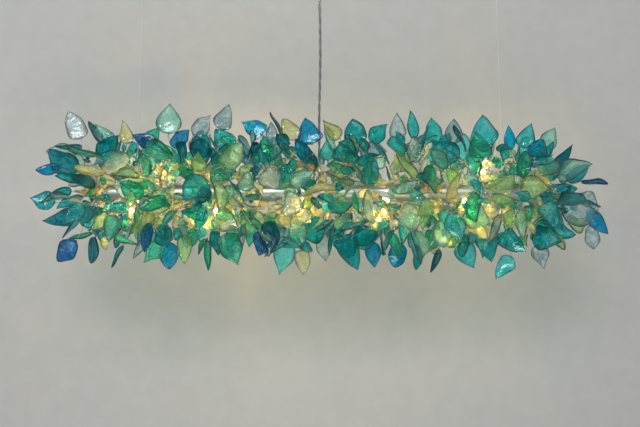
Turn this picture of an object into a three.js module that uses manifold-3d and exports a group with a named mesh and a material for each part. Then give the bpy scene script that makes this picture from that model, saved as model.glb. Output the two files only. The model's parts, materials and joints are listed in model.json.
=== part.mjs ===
// A linear chandelier: a steel tube with plug-in halogen bulbs, dressed all round with glass leaves
// on wires, hung from the ceiling on two steel cables with its power cord in the middle.
//
// Millimetres, +Z up, +X along the tube, -Y towards the room's front.
// The origin is the middle of the ceiling bracket's top face, which lies against the ceiling.
import * as THREE from "three";
import { mergeVertices } from "three/addons/utils/BufferGeometryUtils.js";
import Module from "manifold-3d";

const wasm = await Module();
wasm.setup();

// ---------------------------------------------------------------- driving dimensions
const GAP = 0.4; // play between pieces that touch
const DROP = 450; // ceiling to the tube's axis
const TUBE = { radius: 16, wall: 1.5, half: 400, sides: 24 };
const CABLE = { radius: 0.5, atTube: 348, atCeiling: 334.5, ball: 3.2 };
const CORD = { radius: 3, sides: 8 };
const SWING_Z = -16.8; // height of the line about which the hanging light swings
const BULB_PITCH = 158; // between neighbouring bulbs under the tube
const LOWER_BULB_START = -352;
const LOWER_BULB_TILT = 34; // degrees forward of straight down
const UPPER_BULB_X = [-300, 311];
const HOLDER = { radius: 8.6, inner: 1.5, top: 18.2, flange: 10.2 };
const ROSE = { radius: 50, wall: 1.5, depth: 32, hole: 8 };
const ANCHOR = { radius: 11, cap: 10, bottom: -24 };
const GRIPPER = { radius: 4.5, length: 24, start: 17.2 };
const HUB = { radius: 3.5, head: 5, height: 5, count: 22, reach: 384, turn: 137.5, step: 20, room: 17 };
const LEAF = { shortest: 46, longest: 70, thick: 3.6, cup: 4, count: 300, most: 15, farthest: 175 };
const SHELL = { radius: 108, half: 500, power: 5, inner: 0.55 };
const WIRE_RADIUS = 0.95;

const axisZ = -DROP;
const rad = THREE.MathUtils.degToRad;
const vec = (x, y, z) => new THREE.Vector3(x, y, z);
const X = vec(1, 0, 0);
const Y = vec(0, 1, 0);
const Z = vec(0, 0, 1);

// Leaves set by hand, each by the place of its middle (x, and z from the tube's axis), the way it
// points in degrees from +X towards +Z, its length and width, and how far it is turned edge-on.
// The first set stands out round the edge of the cloud, and the second stands in front of the tube.
const EDGE_LEAVES = [
  [-456, 127, 108, 56, 32, 15], [-427, 117, 119, 46, 26, 72], [-407, 112, 130, 48, 28, 25],
  [-372, 118, 95, 46, 27, 20], [-286, 141, 87, 58, 40, 8], [-329, 100, 152, 46, 27, 25],
  [-262, 103, 48, 46, 26, 35], [-222, 127, 37, 50, 29, 12], [-226, 93, 65, 52, 38, 10],
  [-180, 102, 115, 50, 34, 20], [-177, 142, 62, 51, 29, 15], [-502, 82, 186, 46, 27, 30],
  [-475, 88, 172, 50, 26, 68], [-507, 42, 198, 46, 26, 30], [-126, 127, 140, 47, 34, 10],
  [-82, 131, 120, 47, 24, 78], [-89, 108, 105, 46, 28, 25], [-57, 122, 120, 48, 28, 15],
  [-21, 116, 105, 52, 38, 8], [21, 117, 140, 46, 27, 30], [66, 116, 108, 48, 42, 15],
  [113, 118, 60, 47, 32, 30], [148, 126, 98, 55, 28, 15], [177, 127, 90, 54, 26, 40],
  [220, 121, 92, 50, 33, 20], [255, 117, 90, 48, 30, 15], [304, 114, 108, 60, 46, 8],
  [363, 106, 97, 47, 27, 20], [389, 108, 86, 48, 32, 12], [444, 105, 60, 48, 32, 18],
  [467, 69, 52, 54, 28, 35], [485, 34, 22, 50, 27, 25], [528, 22, -2, 50, 26, 76],
  [466, 2, 8, 66, 34, 25], [523, -16, -55, 46, 26, 35], [528, -57, -62, 56, 27, 40],
  [513, -84, -85, 46, 24, 30], [469, -78, -22, 46, 26, 25], [420, -122, -80, 48, 28, 20],
  [343, -139, 222, 52, 27, 20], [283, -120, -62, 54, 36, 15], [220, -130, -105, 46, 24, 74],
  [218, -94, -95, 48, 30, 25], [357, -97, -52, 50, 26, 30], [-104, -95, -100, 50, 37, 10],
  [-70, -127, -104, 62, 46, 8], [-30, -131, -76, 48, 28, 25], [6, -104, -95, 56, 34, 15],
  [60, -117, -65, 66, 34, 12], [102, -117, -80, 48, 32, 15], [149, -119, -112, 48, 34, 20],
  [187, -122, -88, 48, 24, 62], [-164, -106, -64, 64, 42, 12], [-529, -12, 160, 46, 33, 15],
  [-492, -51, 198, 62, 30, 25], [-462, -82, 190, 48, 24, 70], [-480, -109, 222, 52, 34, 18],
  [-424, -108, -88, 50, 30, 45], [-390, -120, 236, 46, 24, 66], [-340, -104, -125, 48, 28, 35],
  [-312, -112, -132, 50, 32, 20], [-286, -119, -80, 52, 34, 15], [-256, -106, -100, 54, 28, 20],
  [-215, -120, -88, 58, 28, 60], [-201, -96, -84, 48, 28, 35],
];
const FRONT_LEAVES = [
  [-296, -22, 200, 54, 27, 35], [-215, 30, 82, 48, 26, 35], [-172, -36, -100, 52, 27, 30],
  [-150, 62, 42, 54, 34, 25], [-60, -58, -80, 50, 32, 25], [-30, 26, 30, 48, 28, 20],
  [28, -30, -70, 48, 28, 25], [95, 36, 60, 50, 30, 15], [120, -52, -100, 52, 28, 30],
  [205, 58, 100, 48, 30, 20], [240, -62, -75, 50, 30, 15], [265, -30, 255, 50, 25, 60],
  [372, 50, 70, 48, 28, 25], [415, -42, -60, 50, 30, 20], [-400, 40, 120, 56, 38, 10],
  [-440, -40, 215, 50, 30, 25], [-372, -66, -100, 48, 30, 20],
];

// ---------------------------------------------------------------- finishes
const finish = (color, roughness, metalness) =>
  new THREE.MeshStandardMaterial({ color, roughness, metalness });
const satinSteel = finish(0xb9bcbb, 0.32, 1);
const brightSteel = finish(0xc6c8c8, 0.2, 1);
const whiteEnamel = finish(0xe9e8e4, 0.4, 0);
const ceramic = finish(0xe6e0d2, 0.55, 0);
const bulbGlass = finish(0xfff4dc, 0.05, 0);
const seaGlass = finish(0x2f8f8a, 0.08, 0);
const clearSheath = finish(0xb8bab6, 0.15, 0);
const greyPlastic = finish(0x8c8f90, 0.5, 0);

// ---------------------------------------------------------------- solids
// A closed geometry as a solid that can be joined and cut.
function solid(geometry) {
  const bare = geometry.clone();
  bare.deleteAttribute("normal");
  bare.deleteAttribute("uv");
  const merged = mergeVertices(bare, 1e-4);
  return new wasm.Manifold(
    new wasm.Mesh({
      numProp: 3,
      vertProperties: merged.attributes.position.array,
      triVerts: new Uint32Array(merged.index.array),
    }),
  );
}

// A solid back as a geometry.
function shape(made) {
  const mesh = made.getMesh();
  const geometry = new THREE.BufferGeometry();
  geometry.setAttribute("position", new THREE.BufferAttribute(mesh.vertProperties, 3));
  geometry.setIndex(new THREE.BufferAttribute(mesh.triVerts, 1));
  geometry.computeVertexNormals();
  return geometry;
}

const joined = (first, ...others) => others.reduce((all, one) => all.add(one), first);
const without = (first, ...others) => others.reduce((all, one) => all.subtract(one), first);

// A turned solid: profile points are [radius, height] up its own axis, which is set along direction.
function turned(profile, sides, at, direction) {
  const points = profile.map(([r, h]) => new THREE.Vector2(r, h));
  const lathe = new THREE.LatheGeometry(points, sides);
  const turn = new THREE.Quaternion().setFromUnitVectors(Y, direction);
  lathe.applyQuaternion(turn).translate(at.x, at.y, at.z);
  const made = solid(lathe);
  if (made.volume() < 0) throw new Error("a turned profile runs the wrong way");
  return made;
}

// A plain round bar between two heights on an axis.
const bar = (radius, low, high, sides, at, direction) =>
  turned([[0, low], [radius, low], [radius, high], [0, high]], sides, at, direction);

// A round bar from one point to another.
function rod(from, to, radius, sides) {
  const direction = to.clone().sub(from);
  return bar(radius, 0, direction.length(), sides, from, direction.normalize());
}

function block(size, at, turn = new THREE.Quaternion()) {
  const box = new THREE.BoxGeometry(...size).applyQuaternion(turn);
  return solid(box.translate(at.x, at.y, at.z));
}

// ---------------------------------------------------------------- places on the tube
// The direction that points out of the tube at an angle from straight up, turning to the front.
const outward = (angle) => vec(0, -Math.sin(rad(angle)), Math.cos(rad(angle)));
const onAxis = (x) => vec(x, 0, axisZ);

const bulbs = [
  ...[0, 1, 2, 3, 4].map((k) => ({
    x: LOWER_BULB_START + k * BULB_PITCH,
    out: outward(180 - LOWER_BULB_TILT),
  })),
  ...UPPER_BULB_X.map((x) => ({ x, out: outward(0) })),
];

const cables = [-1, 1].map((side) => {
  const ball = vec(side * CABLE.atCeiling, 0, SWING_Z);
  const foot = vec(side * CABLE.atTube, 0, axisZ);
  return { name: side < 0 ? "left" : "right", ball, foot, up: ball.clone().sub(foot).normalize() };
});

// What already comes out of the tube: the bulbs, the cord and the cables.
const outlets = [...bulbs, { x: 0, out: outward(0) }, ...cables.map(({ foot }) => ({ x: foot.x, out: Z }))];

// Each spray of leaves springs from a hub. Most wind round the tube, each turned on from the last
// until it is clear of the outlets, and the last two are on the end caps.
const hubs = [];
for (let k = 0; k < HUB.count; k++) {
  const at = onAxis(-HUB.reach + (2 * HUB.reach * k) / (HUB.count - 1));
  const foot = TUBE.radius + GAP;
  const crowded = (angle) => {
    const here = at.clone().addScaledVector(outward(angle), foot);
    return outlets.some(({ x, out }) => onAxis(x).addScaledVector(out, foot).distanceTo(here) < HUB.room);
  };
  let angle = k * HUB.turn;
  while (crowded(angle)) angle += HUB.step;
  hubs.push({ at, out: outward(angle), foot });
}
for (const side of [-1, 1]) {
  hubs.push({ at: onAxis(side * TUBE.half), out: vec(side, 0, 0), foot: 3.4 + GAP });
}
for (const hub of hubs) hub.top = hub.at.clone().addScaledVector(hub.out, hub.foot + HUB.height);

// ---------------------------------------------------------------- where the leaves go
// A small repeatable random stream, so that the arrangement is the same every time.
let seed = 20;
function random() {
  seed = (Math.imul(seed, 1664525) + 1013904223) >>> 0;
  return seed / 4294967296;
}

function randomDirection() {
  const z = 2 * random() - 1;
  const turn = 2 * Math.PI * random();
  const flat = Math.sqrt(1 - z * z);
  return vec(flat * Math.cos(turn), flat * Math.sin(turn), z);
}

// A box with its own axes, and half its size along each.
const boxAt = (centre, axes, half) => ({ centre, axes, half });

// A box round the straight line between two points.
function boxAlong(from, to, half) {
  const along = to.clone().sub(from);
  const length = along.length();
  along.normalize();
  const across = Math.abs(along.z) < 0.9 ? Z.clone().cross(along) : X.clone().cross(along);
  across.normalize();
  const centre = from.clone().add(to).multiplyScalar(0.5);
  return boxAt(centre, [along, across, along.clone().cross(across)], [length / 2, half, half]);
}

// Whether two boxes are apart, by looking for an axis on which they don't meet.
function apart(a, b) {
  const between = b.centre.clone().sub(a.centre);
  const free = (axis) => {
    let reach = 0;
    for (let k = 0; k < 3; k++) {
      reach += a.half[k] * Math.abs(a.axes[k].dot(axis)) + b.half[k] * Math.abs(b.axes[k].dot(axis));
    }
    return Math.abs(between.dot(axis)) > reach;
  };
  if (a.axes.some(free) || b.axes.some(free)) return true;
  return a.axes.some((p) =>
    b.axes.some((q) => {
      const axis = p.clone().cross(q);
      return axis.lengthSq() > 1e-6 && free(axis.normalize());
    }),
  );
}

// The room that the tube, bulbs, cables and cord take, with the way out of each bulb.
const taken = [
  ...[0, 45, 90, 135].map((turn) =>
    boxAt(onAxis(0), [X, outward(turn), outward(turn + 90)], [TUBE.half + 5, 17, 7]),
  ),
  boxAlong(onAxis(0), vec(0, 0, 0), 8),
  ...bulbs.map(({ x, out }) =>
    boxAlong(onAxis(x).addScaledVector(out, 17), onAxis(x).addScaledVector(out, 80), 8.5),
  ),
  ...cables.map(({ foot, ball }) => boxAlong(foot, ball, 3)),
  ...cables.map(({ foot, up }) => boxAlong(foot, foot.clone().addScaledVector(up, 50), 7)),
].map((box) => ({ box, hub: -1 }));
hubs.forEach((hub, k) => {
  taken.push({ box: boxAlong(hub.at, hub.top.clone().addScaledVector(hub.out, 5), 5), hub: k });
});

// How far from the axis the middles of the leaves lie, at a place along the tube.
const shellAt = (x) => SHELL.radius * (1 - Math.abs(x / SHELL.half) ** SHELL.power) ** (1 / SHELL.power);

// A leaf at a random place in the shell, pointing roughly outwards.
function proposedLeaf() {
  const x = (2 * random() - 1) * SHELL.half;
  const angle = 360 * random();
  const depth = random();
  const past = Math.abs(x) > TUBE.half + 20;
  const rho = shellAt(x) * (past ? Math.sqrt(depth) : 1 - (1 - SHELL.inner) * depth * depth);
  const centre = onAxis(x).addScaledVector(outward(angle), rho);
  const nearest = onAxis(Math.max(-TUBE.half, Math.min(TUBE.half, x)));
  const along = centre.clone().sub(nearest).normalize().addScaledVector(randomDirection(), 0.85);
  along.normalize();
  const across = randomDirection().cross(along).normalize();
  const normal = along.clone().cross(across);
  const length = LEAF.shortest + (LEAF.longest - LEAF.shortest) * random();
  const width = length * (0.56 + 0.16 * random());
  return { centre, along, across, normal, length, width };
}

// A leaf set by hand at a depth; more than one depth may be tried before one is clear.
function leafByHand([x, z, points, length, width, turn], depth) {
  const centre = vec(x, depth, axisZ + z);
  const along = vec(Math.cos(rad(points)), 0, Math.sin(rad(points)));
  const front = vec(0, -1, 0);
  const normal = front.clone().multiplyScalar(Math.cos(rad(turn)));
  normal.addScaledVector(along.clone().cross(front), Math.sin(rad(turn)));
  return { centre, along, across: normal.clone().cross(along), normal, length, width };
}

// A point on a leaf, by its share along the middle from the stem to the tip.
const alongLeaf = (leaf, share) =>
  leaf.centre.clone().addScaledVector(leaf.along, leaf.length * (share - 0.5));

// The least loaded hub near the leaf whose wire reaches it without a sharp turn.
function hubFor(leaf, counts) {
  const base = alongLeaf(leaf, 0);
  let best = -1;
  let least = Infinity;
  hubs.forEach((hub, k) => {
    const wire = base.clone().sub(hub.top);
    const length = wire.length();
    wire.divideScalar(length);
    const open = wire.dot(hub.out) > 0.1 && wire.dot(leaf.along) > 0.5;
    const cost = length + 6 * counts[k];
    if (open && cost < least && length > 12 && length < LEAF.farthest && counts[k] < LEAF.most) {
      best = k;
      least = cost;
    }
  });
  return best;
}

// The room a blade takes, from just above its rim to just below its sunk middle.
function leafBox(leaf) {
  const middle = leaf.centre.clone().addScaledVector(leaf.normal, -(LEAF.cup + LEAF.thick / 2) / 2);
  const half = [leaf.length / 2 + 1, leaf.width / 2 + 0.5, (LEAF.cup + LEAF.thick / 2) / 2 + 1];
  return boxAt(middle, [leaf.along, leaf.across, leaf.normal], half);
}

const placed = [];
const counts = hubs.map(() => 0);

// Keeps a leaf if there is a hub for it, and neither it nor its wire touches anything.
function keepIfClear(leaf) {
  leaf.hub = hubFor(leaf, counts);
  if (leaf.hub < 0) return false;
  const blade = leafBox(leaf);
  const wire = boxAlong(hubs[leaf.hub].top, alongLeaf(leaf, 0), 1.3);
  const clear = taken.every(
    ({ box, hub, isWire }) =>
      apart(blade, box) && ((hub === leaf.hub && isWire !== false) || apart(wire, box)),
  );
  if (!clear) return false;
  taken.push({ box: blade, hub: leaf.hub, isWire: false }, { box: wire, hub: leaf.hub, isWire: true });
  counts[leaf.hub]++;
  placed.push(leaf);
  return true;
}

// The leaves set by hand come first, each at the first depth that is clear, and the rest are
// scattered between them, proposed one after another until there are enough.
function placeLeaves() {
  const depths = (start, step) => [...Array(13).keys()].map((k) => start + step * k);
  EDGE_LEAVES.forEach((row, k) => {
    const start = ((k * 37) % 60) - 30;
    depths(start, start > 0 ? -9 : 9).some((depth) => keepIfClear(leafByHand(row, depth)));
  });
  FRONT_LEAVES.forEach((row) => depths(-118, 5).some((depth) => keepIfClear(leafByHand(row, depth))));
  for (let tries = 0; tries < 60000 && placed.length < LEAF.count; tries++) keepIfClear(proposedLeaf());
  return placed;
}

const leaves = placeLeaves();

// ---------------------------------------------------------------- the pieces
const chandelier = new THREE.Group();

function add(name, made, material) {
  const mesh = new THREE.Mesh(shape(made), material);
  mesh.name = name;
  chandelier.add(mesh);
}

// The strap screwed to the ceiling, with an ear turned down at each end for a cover screw.
function ceilingBracket() {
  const strap = block([92, 22, 2.5], vec(0, 0, -1.25));
  const ears = [-1, 1].map((side) => block([2.5, 16, 14], vec(side * 44.75, 0, -7)));
  const screwHoles = [-1, 1].map((side) => bar(2.6, -4, 2, 12, vec(side * 40 - side * 12, 0, 0), Z));
  const sideHole = bar(1.9, -50, 50, 10, vec(0, 0, -8), X);
  return without(joined(strap, ...ears), ...screwHoles, sideHole);
}

// The round cover over the ceiling outlet: a shallow cup with a cord hole and two open notches.
function roseCover() {
  const { radius, wall, depth, hole } = ROSE;
  const profile = [
    [hole, -depth],
    [radius - 4, -depth],
    [radius - 1.2, -depth + 1.2],
    [radius, -depth + 4],
    [radius, -0.5],
    [radius - wall, -0.5],
    [radius - wall, -depth + 4.4],
    [radius - 5, -depth + wall],
    [hole, -depth + wall],
    [hole, -depth],
  ];
  const cup = turned(profile, 30, vec(0, 0, 0), Z);
  const notches = block([2 * radius + 4, 4.8, 11], vec(0, 0, -5.2));
  return cup.subtract(notches);
}

// A pan-head screw through a notch of the cover into the bracket's ear.
function coverScrew(side) {
  const direction = vec(side, 0, 0);
  const profile = [[0, 42], [1.5, 42], [1.5, 50.5], [3.6, 50.5], [3.4, 52.2], [2.2, 53], [0, 53]];
  return turned(profile, 12, vec(0, 0, -8), direction);
}

// The hexagonal clamp under the bracket that holds the upper end of the cord.
function cordClamp() {
  const nut = bar(9, -8, -2.5 - GAP, 6, vec(0, 0, 0), Z);
  const sleeve = bar(6.2, -16, -7, 14, vec(0, 0, 0), Z);
  return nut.add(sleeve);
}

// A three-way screw terminal for the supply wires.
function terminalBlock() {
  const body = block([22, 15, 11], vec(28, 0, -2.5 - GAP - 5.5));
  const ways = [-7, 0, 7].map((dx) => bar(1.8, -9, 9, 8, vec(28 + dx, 0, -9), Y));
  return without(body, ...ways);
}

// The disc of a cable anchor, with the boss that its cap screws on.
function anchorBase(at) {
  const profile = [[0, -10], [7.4, -10], [7.4, -3], [ANCHOR.radius, -3], [ANCHOR.radius, 0], [0, 0]];
  return turned(profile, 24, at, Z);
}

// The anchor's cap: a barrel whose floor carries the ball on the cable's end.
function anchorCap(at) {
  const { cap, bottom } = ANCHOR;
  const floor = SWING_Z - CABLE.ball - GAP;
  const profile = [
    [1.9, bottom],
    [cap - 2, bottom],
    [cap, bottom + 2],
    [cap, -3 - GAP],
    [7.8, -3 - GAP],
    [7.8, -10.6],
    [5, -10.6],
    [5, floor],
    [1.9, floor],
    [1.9, bottom],
  ];
  return turned(profile, 24, at, Z);
}

// A steel cable from inside its gripper up to the ball in its ceiling anchor.
function suspensionCable({ foot, ball, up }) {
  const start = foot.clone().addScaledVector(up, GRIPPER.start + 5);
  const wire = rod(start, ball, CABLE.radius, 8);
  const sphere = new THREE.SphereGeometry(CABLE.ball, 12, 8).translate(ball.x, ball.y, ball.z);
  return wire.add(solid(sphere));
}

// The cable gripper: a barrel on a stud that goes through the top of the tube.
function cableGripper({ foot, up }) {
  const { radius, length, start } = GRIPPER;
  const end = start + length;
  const profile = [
    [0, 10],
    [2, 10],
    [2, start - 0.5],
    [radius - 0.8, start - 0.5],
    [radius, start + 0.5],
    [radius, end - 1.5],
    [radius - 1, end],
    [2.9, end],
    [2.9, end - 7],
    [1.2, end - 7],
    [1.2, start + 4],
    [0, start + 4],
  ];
  return turned(profile, 14, foot, up);
}

// The spring-loaded nozzle that frees the cable when it is pressed into the gripper.
function releaseNozzle({ foot, up }) {
  const end = GRIPPER.start + GRIPPER.length;
  const profile = [[1.2, end - 4.5], [2.5, end - 4.5], [2.5, end + 3], [2, end + 4], [1.2, end + 4], [1.2, end - 4.5]];
  return turned(profile, 12, foot, up);
}

// The power cord hangs almost straight, with a slight wander between the ceiling and the gland.
function powerCord() {
  const top = SWING_Z - 0.4;
  const bottom = axisZ + 14;
  const points = [];
  for (let k = 0; k <= 16; k++) {
    const share = k / 16;
    const sway = Math.sin(Math.PI * share) ** 2;
    points.push(vec(2 * sway * Math.sin(5 * share), 1.2 * sway * Math.cos(4 * share), top + (bottom - top) * share));
  }
  const section = new THREE.Shape();
  for (let k = 0; k < CORD.sides; k++) {
    const turn = (2 * Math.PI * k) / CORD.sides;
    const corner = [CORD.radius * Math.cos(turn), CORD.radius * Math.sin(turn)];
    if (k) section.lineTo(...corner);
    else section.moveTo(...corner);
  }
  section.closePath();
  const route = new THREE.CatmullRomCurve3(points);
  return solid(new THREE.ExtrudeGeometry(section, { steps: 26, bevelEnabled: false, extrudePath: route }));
}

// The gland that carries the cord into the tube.
function cordGland() {
  const profile = [
    [3.4, 11],
    [4.8, 11],
    [4.8, 16 + GAP],
    [9, 16 + GAP],
    [9, 21],
    [7.4, 21.6],
    [7.4, 26],
    [5, 31],
    [3.4, 31],
    [3.4, 11],
  ];
  return turned(profile, 16, onAxis(0), Z);
}

// The tube, with a hole for each bulb holder, the gland and the two grippers.
function lightTube() {
  const { radius, wall, half, sides } = TUBE;
  const bore = radius - wall;
  const profile = [[bore, -half], [radius, -half], [radius, half], [bore, half], [bore, -half]];
  const holes = bulbs.map(({ x, out }) => bar(HOLDER.radius + GAP, 6, 20, 12, onAxis(x), out));
  holes.push(bar(5.2, 6, 20, 12, onAxis(0), Z));
  for (const { foot, up } of cables) holes.push(bar(2.6, 6, 20, 10, foot, up));
  return without(turned(profile, sides, onAxis(0), X), ...holes);
}

function endCap(side) {
  const bore = TUBE.radius - TUBE.wall;
  const profile = [[0, -9], [bore - GAP, -9], [bore - GAP, GAP], [15.9, GAP], [15.9, 2.4], [15, 3.4], [0, 3.4]];
  return turned(profile, 20, onAxis(side * TUBE.half), vec(side, 0, 0));
}

// The bundle of wires that runs inside the tube past every holder.
const wiringLoom = () => rod(vec(-372, 9.5, axisZ - 5), vec(330, 9.5, axisZ - 5), 2, 8);

// A ceramic holder for a two-pin bulb, set in the tube's wall with its mouth just proud.
function lampHolder({ x, out }) {
  const { radius, inner, top, flange } = HOLDER;
  const profile = [[0, inner], [radius, inner], [radius, 16.6], [flange, 16.6], [flange, top], [0, top]];
  const at = onAxis(x);
  const turn = new THREE.Quaternion().setFromUnitVectors(Z, out);
  const pocket = block([10.8, 6, 6.5], at.clone().addScaledVector(out, top - 3), turn);
  const pinHoles = [-4, 4].map((dx) => bar(0.95, 4, 14, 6, at.clone().setX(x + dx), out));
  return without(turned(profile, 12, at, out), pocket, ...pinHoles);
}

// A halogen capsule bulb: a round-ended capsule on a flat pinch with two pins.
function halogenBulb({ x, out }) {
  const at = onAxis(x);
  const capsule = [[0, 25], [3, 25], [5.6, 27.5], [6.6, 31], [6.6, 49], [5.6, 53.5], [3, 57], [1, 58.5], [0, 59]];
  const turn = new THREE.Quaternion().setFromUnitVectors(Z, out);
  const pinch = block([9.6, 4.6, 14], at.clone().addScaledVector(out, 19.6), turn);
  const pins = [-4, 4].map((dx) => bar(0.5, 6.5, 14, 6, at.clone().setX(x + dx), out));
  return joined(turned(capsule, 10, at, out), pinch, ...pins);
}

// A leaf on its wire, closed all round: a three-sided wire from just inside the hub's head opens
// into a blade with six outline points and a thicker, sunk middle.
function leafOnWire(leaf) {
  const { top } = hubs[leaf.hub];
  const base = alongLeaf(leaf, 0);
  const way = base.clone().sub(top).normalize();
  const start = top.clone().addScaledVector(way, HUB.head * 0.58);
  const side = leaf.across.clone().addScaledVector(way, -leaf.across.dot(way)).normalize();
  const face = way.clone().cross(side);
  const ring = (at) =>
    [[0.87, 0.5], [-0.87, 0.5], [0, -1]].map(([u, v]) =>
      at.clone().addScaledVector(side, u * WIRE_RADIUS).addScaledVector(face, v * WIRE_RADIUS),
    );
  const outline = [[0.3, 0.47], [0.68, 0.38], [1, 0], [0.68, -0.38], [0.3, -0.47]].map(([share, width]) =>
    alongLeaf(leaf, share).addScaledVector(leaf.across, width * leaf.width),
  );
  const sunk = [-LEAF.cup + LEAF.thick / 2, -LEAF.cup - LEAF.thick / 2].map((depth) =>
    alongLeaf(leaf, 0.48).addScaledVector(leaf.normal, depth),
  );
  // Corners 0-2 start the wire, 3-5 end it, 6-10 run round the blade, 11 and 12 are its middle.
  const corners = [...ring(start), ...ring(base), ...outline, ...sunk];
  const faces = [0, 2, 1];
  for (const [p, q] of [[0, 1], [1, 2], [2, 0]]) faces.push(p, q, q + 3, p, q + 3, p + 3);
  const round = [3, 6, 7, 8, 9, 10, 4];
  for (let k = 0; k < 6; k++) {
    faces.push(round[k + 1], round[k], 11, round[k], round[k + 1], 12);
  }
  faces.push(3, 4, 11, 4, 5, 12, 5, 3, 12);
  const geometry = new THREE.BufferGeometry();
  geometry.setAttribute("position", new THREE.Float32BufferAttribute(corners.flatMap((p) => p.toArray()), 3));
  geometry.setIndex(faces);
  const made = solid(geometry);
  if (made.volume() < 0) throw new Error("a leaf is inside out");
  return made;
}

// A spray: a ferrule with a faceted head on the tube, with every leaf that springs from it.
function leafSpray(k) {
  const { at, out, foot, top } = hubs[k];
  const head = new THREE.IcosahedronGeometry(HUB.head, 0).translate(top.x, top.y, top.z);
  const parts = [bar(HUB.radius, foot, foot + HUB.height, 6, at, out), solid(head)];
  for (const leaf of leaves.filter(({ hub }) => hub === k)) parts.push(leafOnWire(leaf));
  return joined(...parts);
}

// ---------------------------------------------------------------- the assembly
add("ceiling_bracket", ceilingBracket(), satinSteel);
add("rose_cover", roseCover(), whiteEnamel);
add("cover_screw_left", coverScrew(-1), brightSteel);
add("cover_screw_right", coverScrew(1), brightSteel);
add("cord_clamp", cordClamp(), greyPlastic);
add("terminal_block", terminalBlock(), whiteEnamel);
for (const cable of cables) {
  const above = vec(cable.ball.x, 0, 0);
  add("anchor_base_" + cable.name, anchorBase(above), brightSteel);
  add("anchor_cap_" + cable.name, anchorCap(above), brightSteel);
  add("suspension_cable_" + cable.name, suspensionCable(cable), brightSteel);
  add("cable_gripper_" + cable.name, cableGripper(cable), brightSteel);
  add("release_nozzle_" + cable.name, releaseNozzle(cable), brightSteel);
}
add("power_cord", powerCord(), clearSheath);
add("cord_gland", cordGland(), brightSteel);
add("light_tube", lightTube(), satinSteel);
add("end_cap_left", endCap(-1), satinSteel);
add("end_cap_right", endCap(1), satinSteel);
add("wiring_loom", wiringLoom(), greyPlastic);
bulbs.forEach((bulb, k) => {
  add("lamp_holder_" + (k + 1), lampHolder(bulb), ceramic);
  add("halogen_bulb_" + (k + 1), halogenBulb(bulb), bulbGlass);
});
hubs.forEach((hub, k) => add("leaf_spray_" + String(k + 1).padStart(2, "0"), leafSpray(k), seaGlass));

export default chandelier;
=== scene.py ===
# %% [markdown]
# # A linear chandelier dressed in glass leaves
#
# The light is a satin steel tube with seven plug-in halogen bulbs. All round it, glass leaves and
# small glass flowers stand on wires, so that the tube hangs inside a long cloud of coloured glass.
# Two steel cables carry the weight and a clear power cord drops down the middle.
#
# The solid model comes first: every piece already has its size and place there. This file makes what
# the eye sees around it, in metres, in the same frame: +X along the tube, -Y to the front, +Z up, and
# the origin on the ceiling.

import json
import math

import bpy
import numpy as np
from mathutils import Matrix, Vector

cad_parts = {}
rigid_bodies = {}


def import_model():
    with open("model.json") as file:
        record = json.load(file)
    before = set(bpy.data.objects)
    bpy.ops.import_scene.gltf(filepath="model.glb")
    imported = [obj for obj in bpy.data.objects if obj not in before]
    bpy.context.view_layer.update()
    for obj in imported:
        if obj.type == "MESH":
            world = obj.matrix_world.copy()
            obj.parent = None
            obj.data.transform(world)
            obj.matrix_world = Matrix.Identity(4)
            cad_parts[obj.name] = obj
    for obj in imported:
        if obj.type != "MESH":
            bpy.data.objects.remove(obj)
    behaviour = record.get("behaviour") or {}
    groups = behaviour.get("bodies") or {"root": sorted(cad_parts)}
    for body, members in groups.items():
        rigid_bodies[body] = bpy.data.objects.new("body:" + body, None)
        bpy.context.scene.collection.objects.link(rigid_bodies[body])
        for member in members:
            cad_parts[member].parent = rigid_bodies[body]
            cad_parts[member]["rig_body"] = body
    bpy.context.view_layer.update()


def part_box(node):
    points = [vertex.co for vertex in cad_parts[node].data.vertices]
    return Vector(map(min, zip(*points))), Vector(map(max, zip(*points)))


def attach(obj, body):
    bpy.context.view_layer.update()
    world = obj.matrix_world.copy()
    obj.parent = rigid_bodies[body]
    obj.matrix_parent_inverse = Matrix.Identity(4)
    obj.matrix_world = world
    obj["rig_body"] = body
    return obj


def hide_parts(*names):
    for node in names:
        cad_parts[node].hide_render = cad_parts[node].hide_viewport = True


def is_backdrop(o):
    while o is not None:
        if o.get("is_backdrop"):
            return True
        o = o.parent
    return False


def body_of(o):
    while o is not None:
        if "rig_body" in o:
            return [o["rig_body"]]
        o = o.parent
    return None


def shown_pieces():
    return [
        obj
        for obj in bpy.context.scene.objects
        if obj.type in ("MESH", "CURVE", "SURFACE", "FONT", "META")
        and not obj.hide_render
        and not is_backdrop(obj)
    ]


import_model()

MM = 0.001
tube_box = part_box("light_tube")
tube_middle = (Vector(tube_box[0]) + Vector(tube_box[1])) / 2
AXIS_Z = tube_middle.z
TUBE_HALF = (tube_box[1][0] - tube_box[0][0]) / 2
TUBE_RADIUS = (tube_box[1][2] - tube_box[0][2]) / 2
print("tube axis at", round(AXIS_Z, 4), "half length", round(TUBE_HALF, 4))

# %% [markdown]
# ## The camera
#
# A long light is easiest to understand from straight in front. A 50 mm lens at 1.7 m keeps the two
# ends from stretching, as a wide lens up close would do. The camera sits a little below the tube, so
# the tube lies just above the middle of the frame and the fittings on the ceiling are out of it.

# %% Place the camera
camera_data = bpy.data.cameras.new("front_camera")
camera_data.lens = 50
camera = bpy.data.objects.new("front_camera", camera_data)
bpy.context.scene.collection.objects.link(camera)
camera.location = (0.001, -1.69, AXIS_Z - 0.039)
camera.rotation_euler = (math.radians(90), 0, 0)
bpy.context.scene.camera = camera
print("camera at", tuple(round(v, 3) for v in camera.location))

# %% [markdown]
# ## Small helpers
#
# Every piece is made as mesh data and linked to the scene, then rides on the body it belongs to. The
# helpers here do only that, so that the cells below can be about the pieces themselves.

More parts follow.
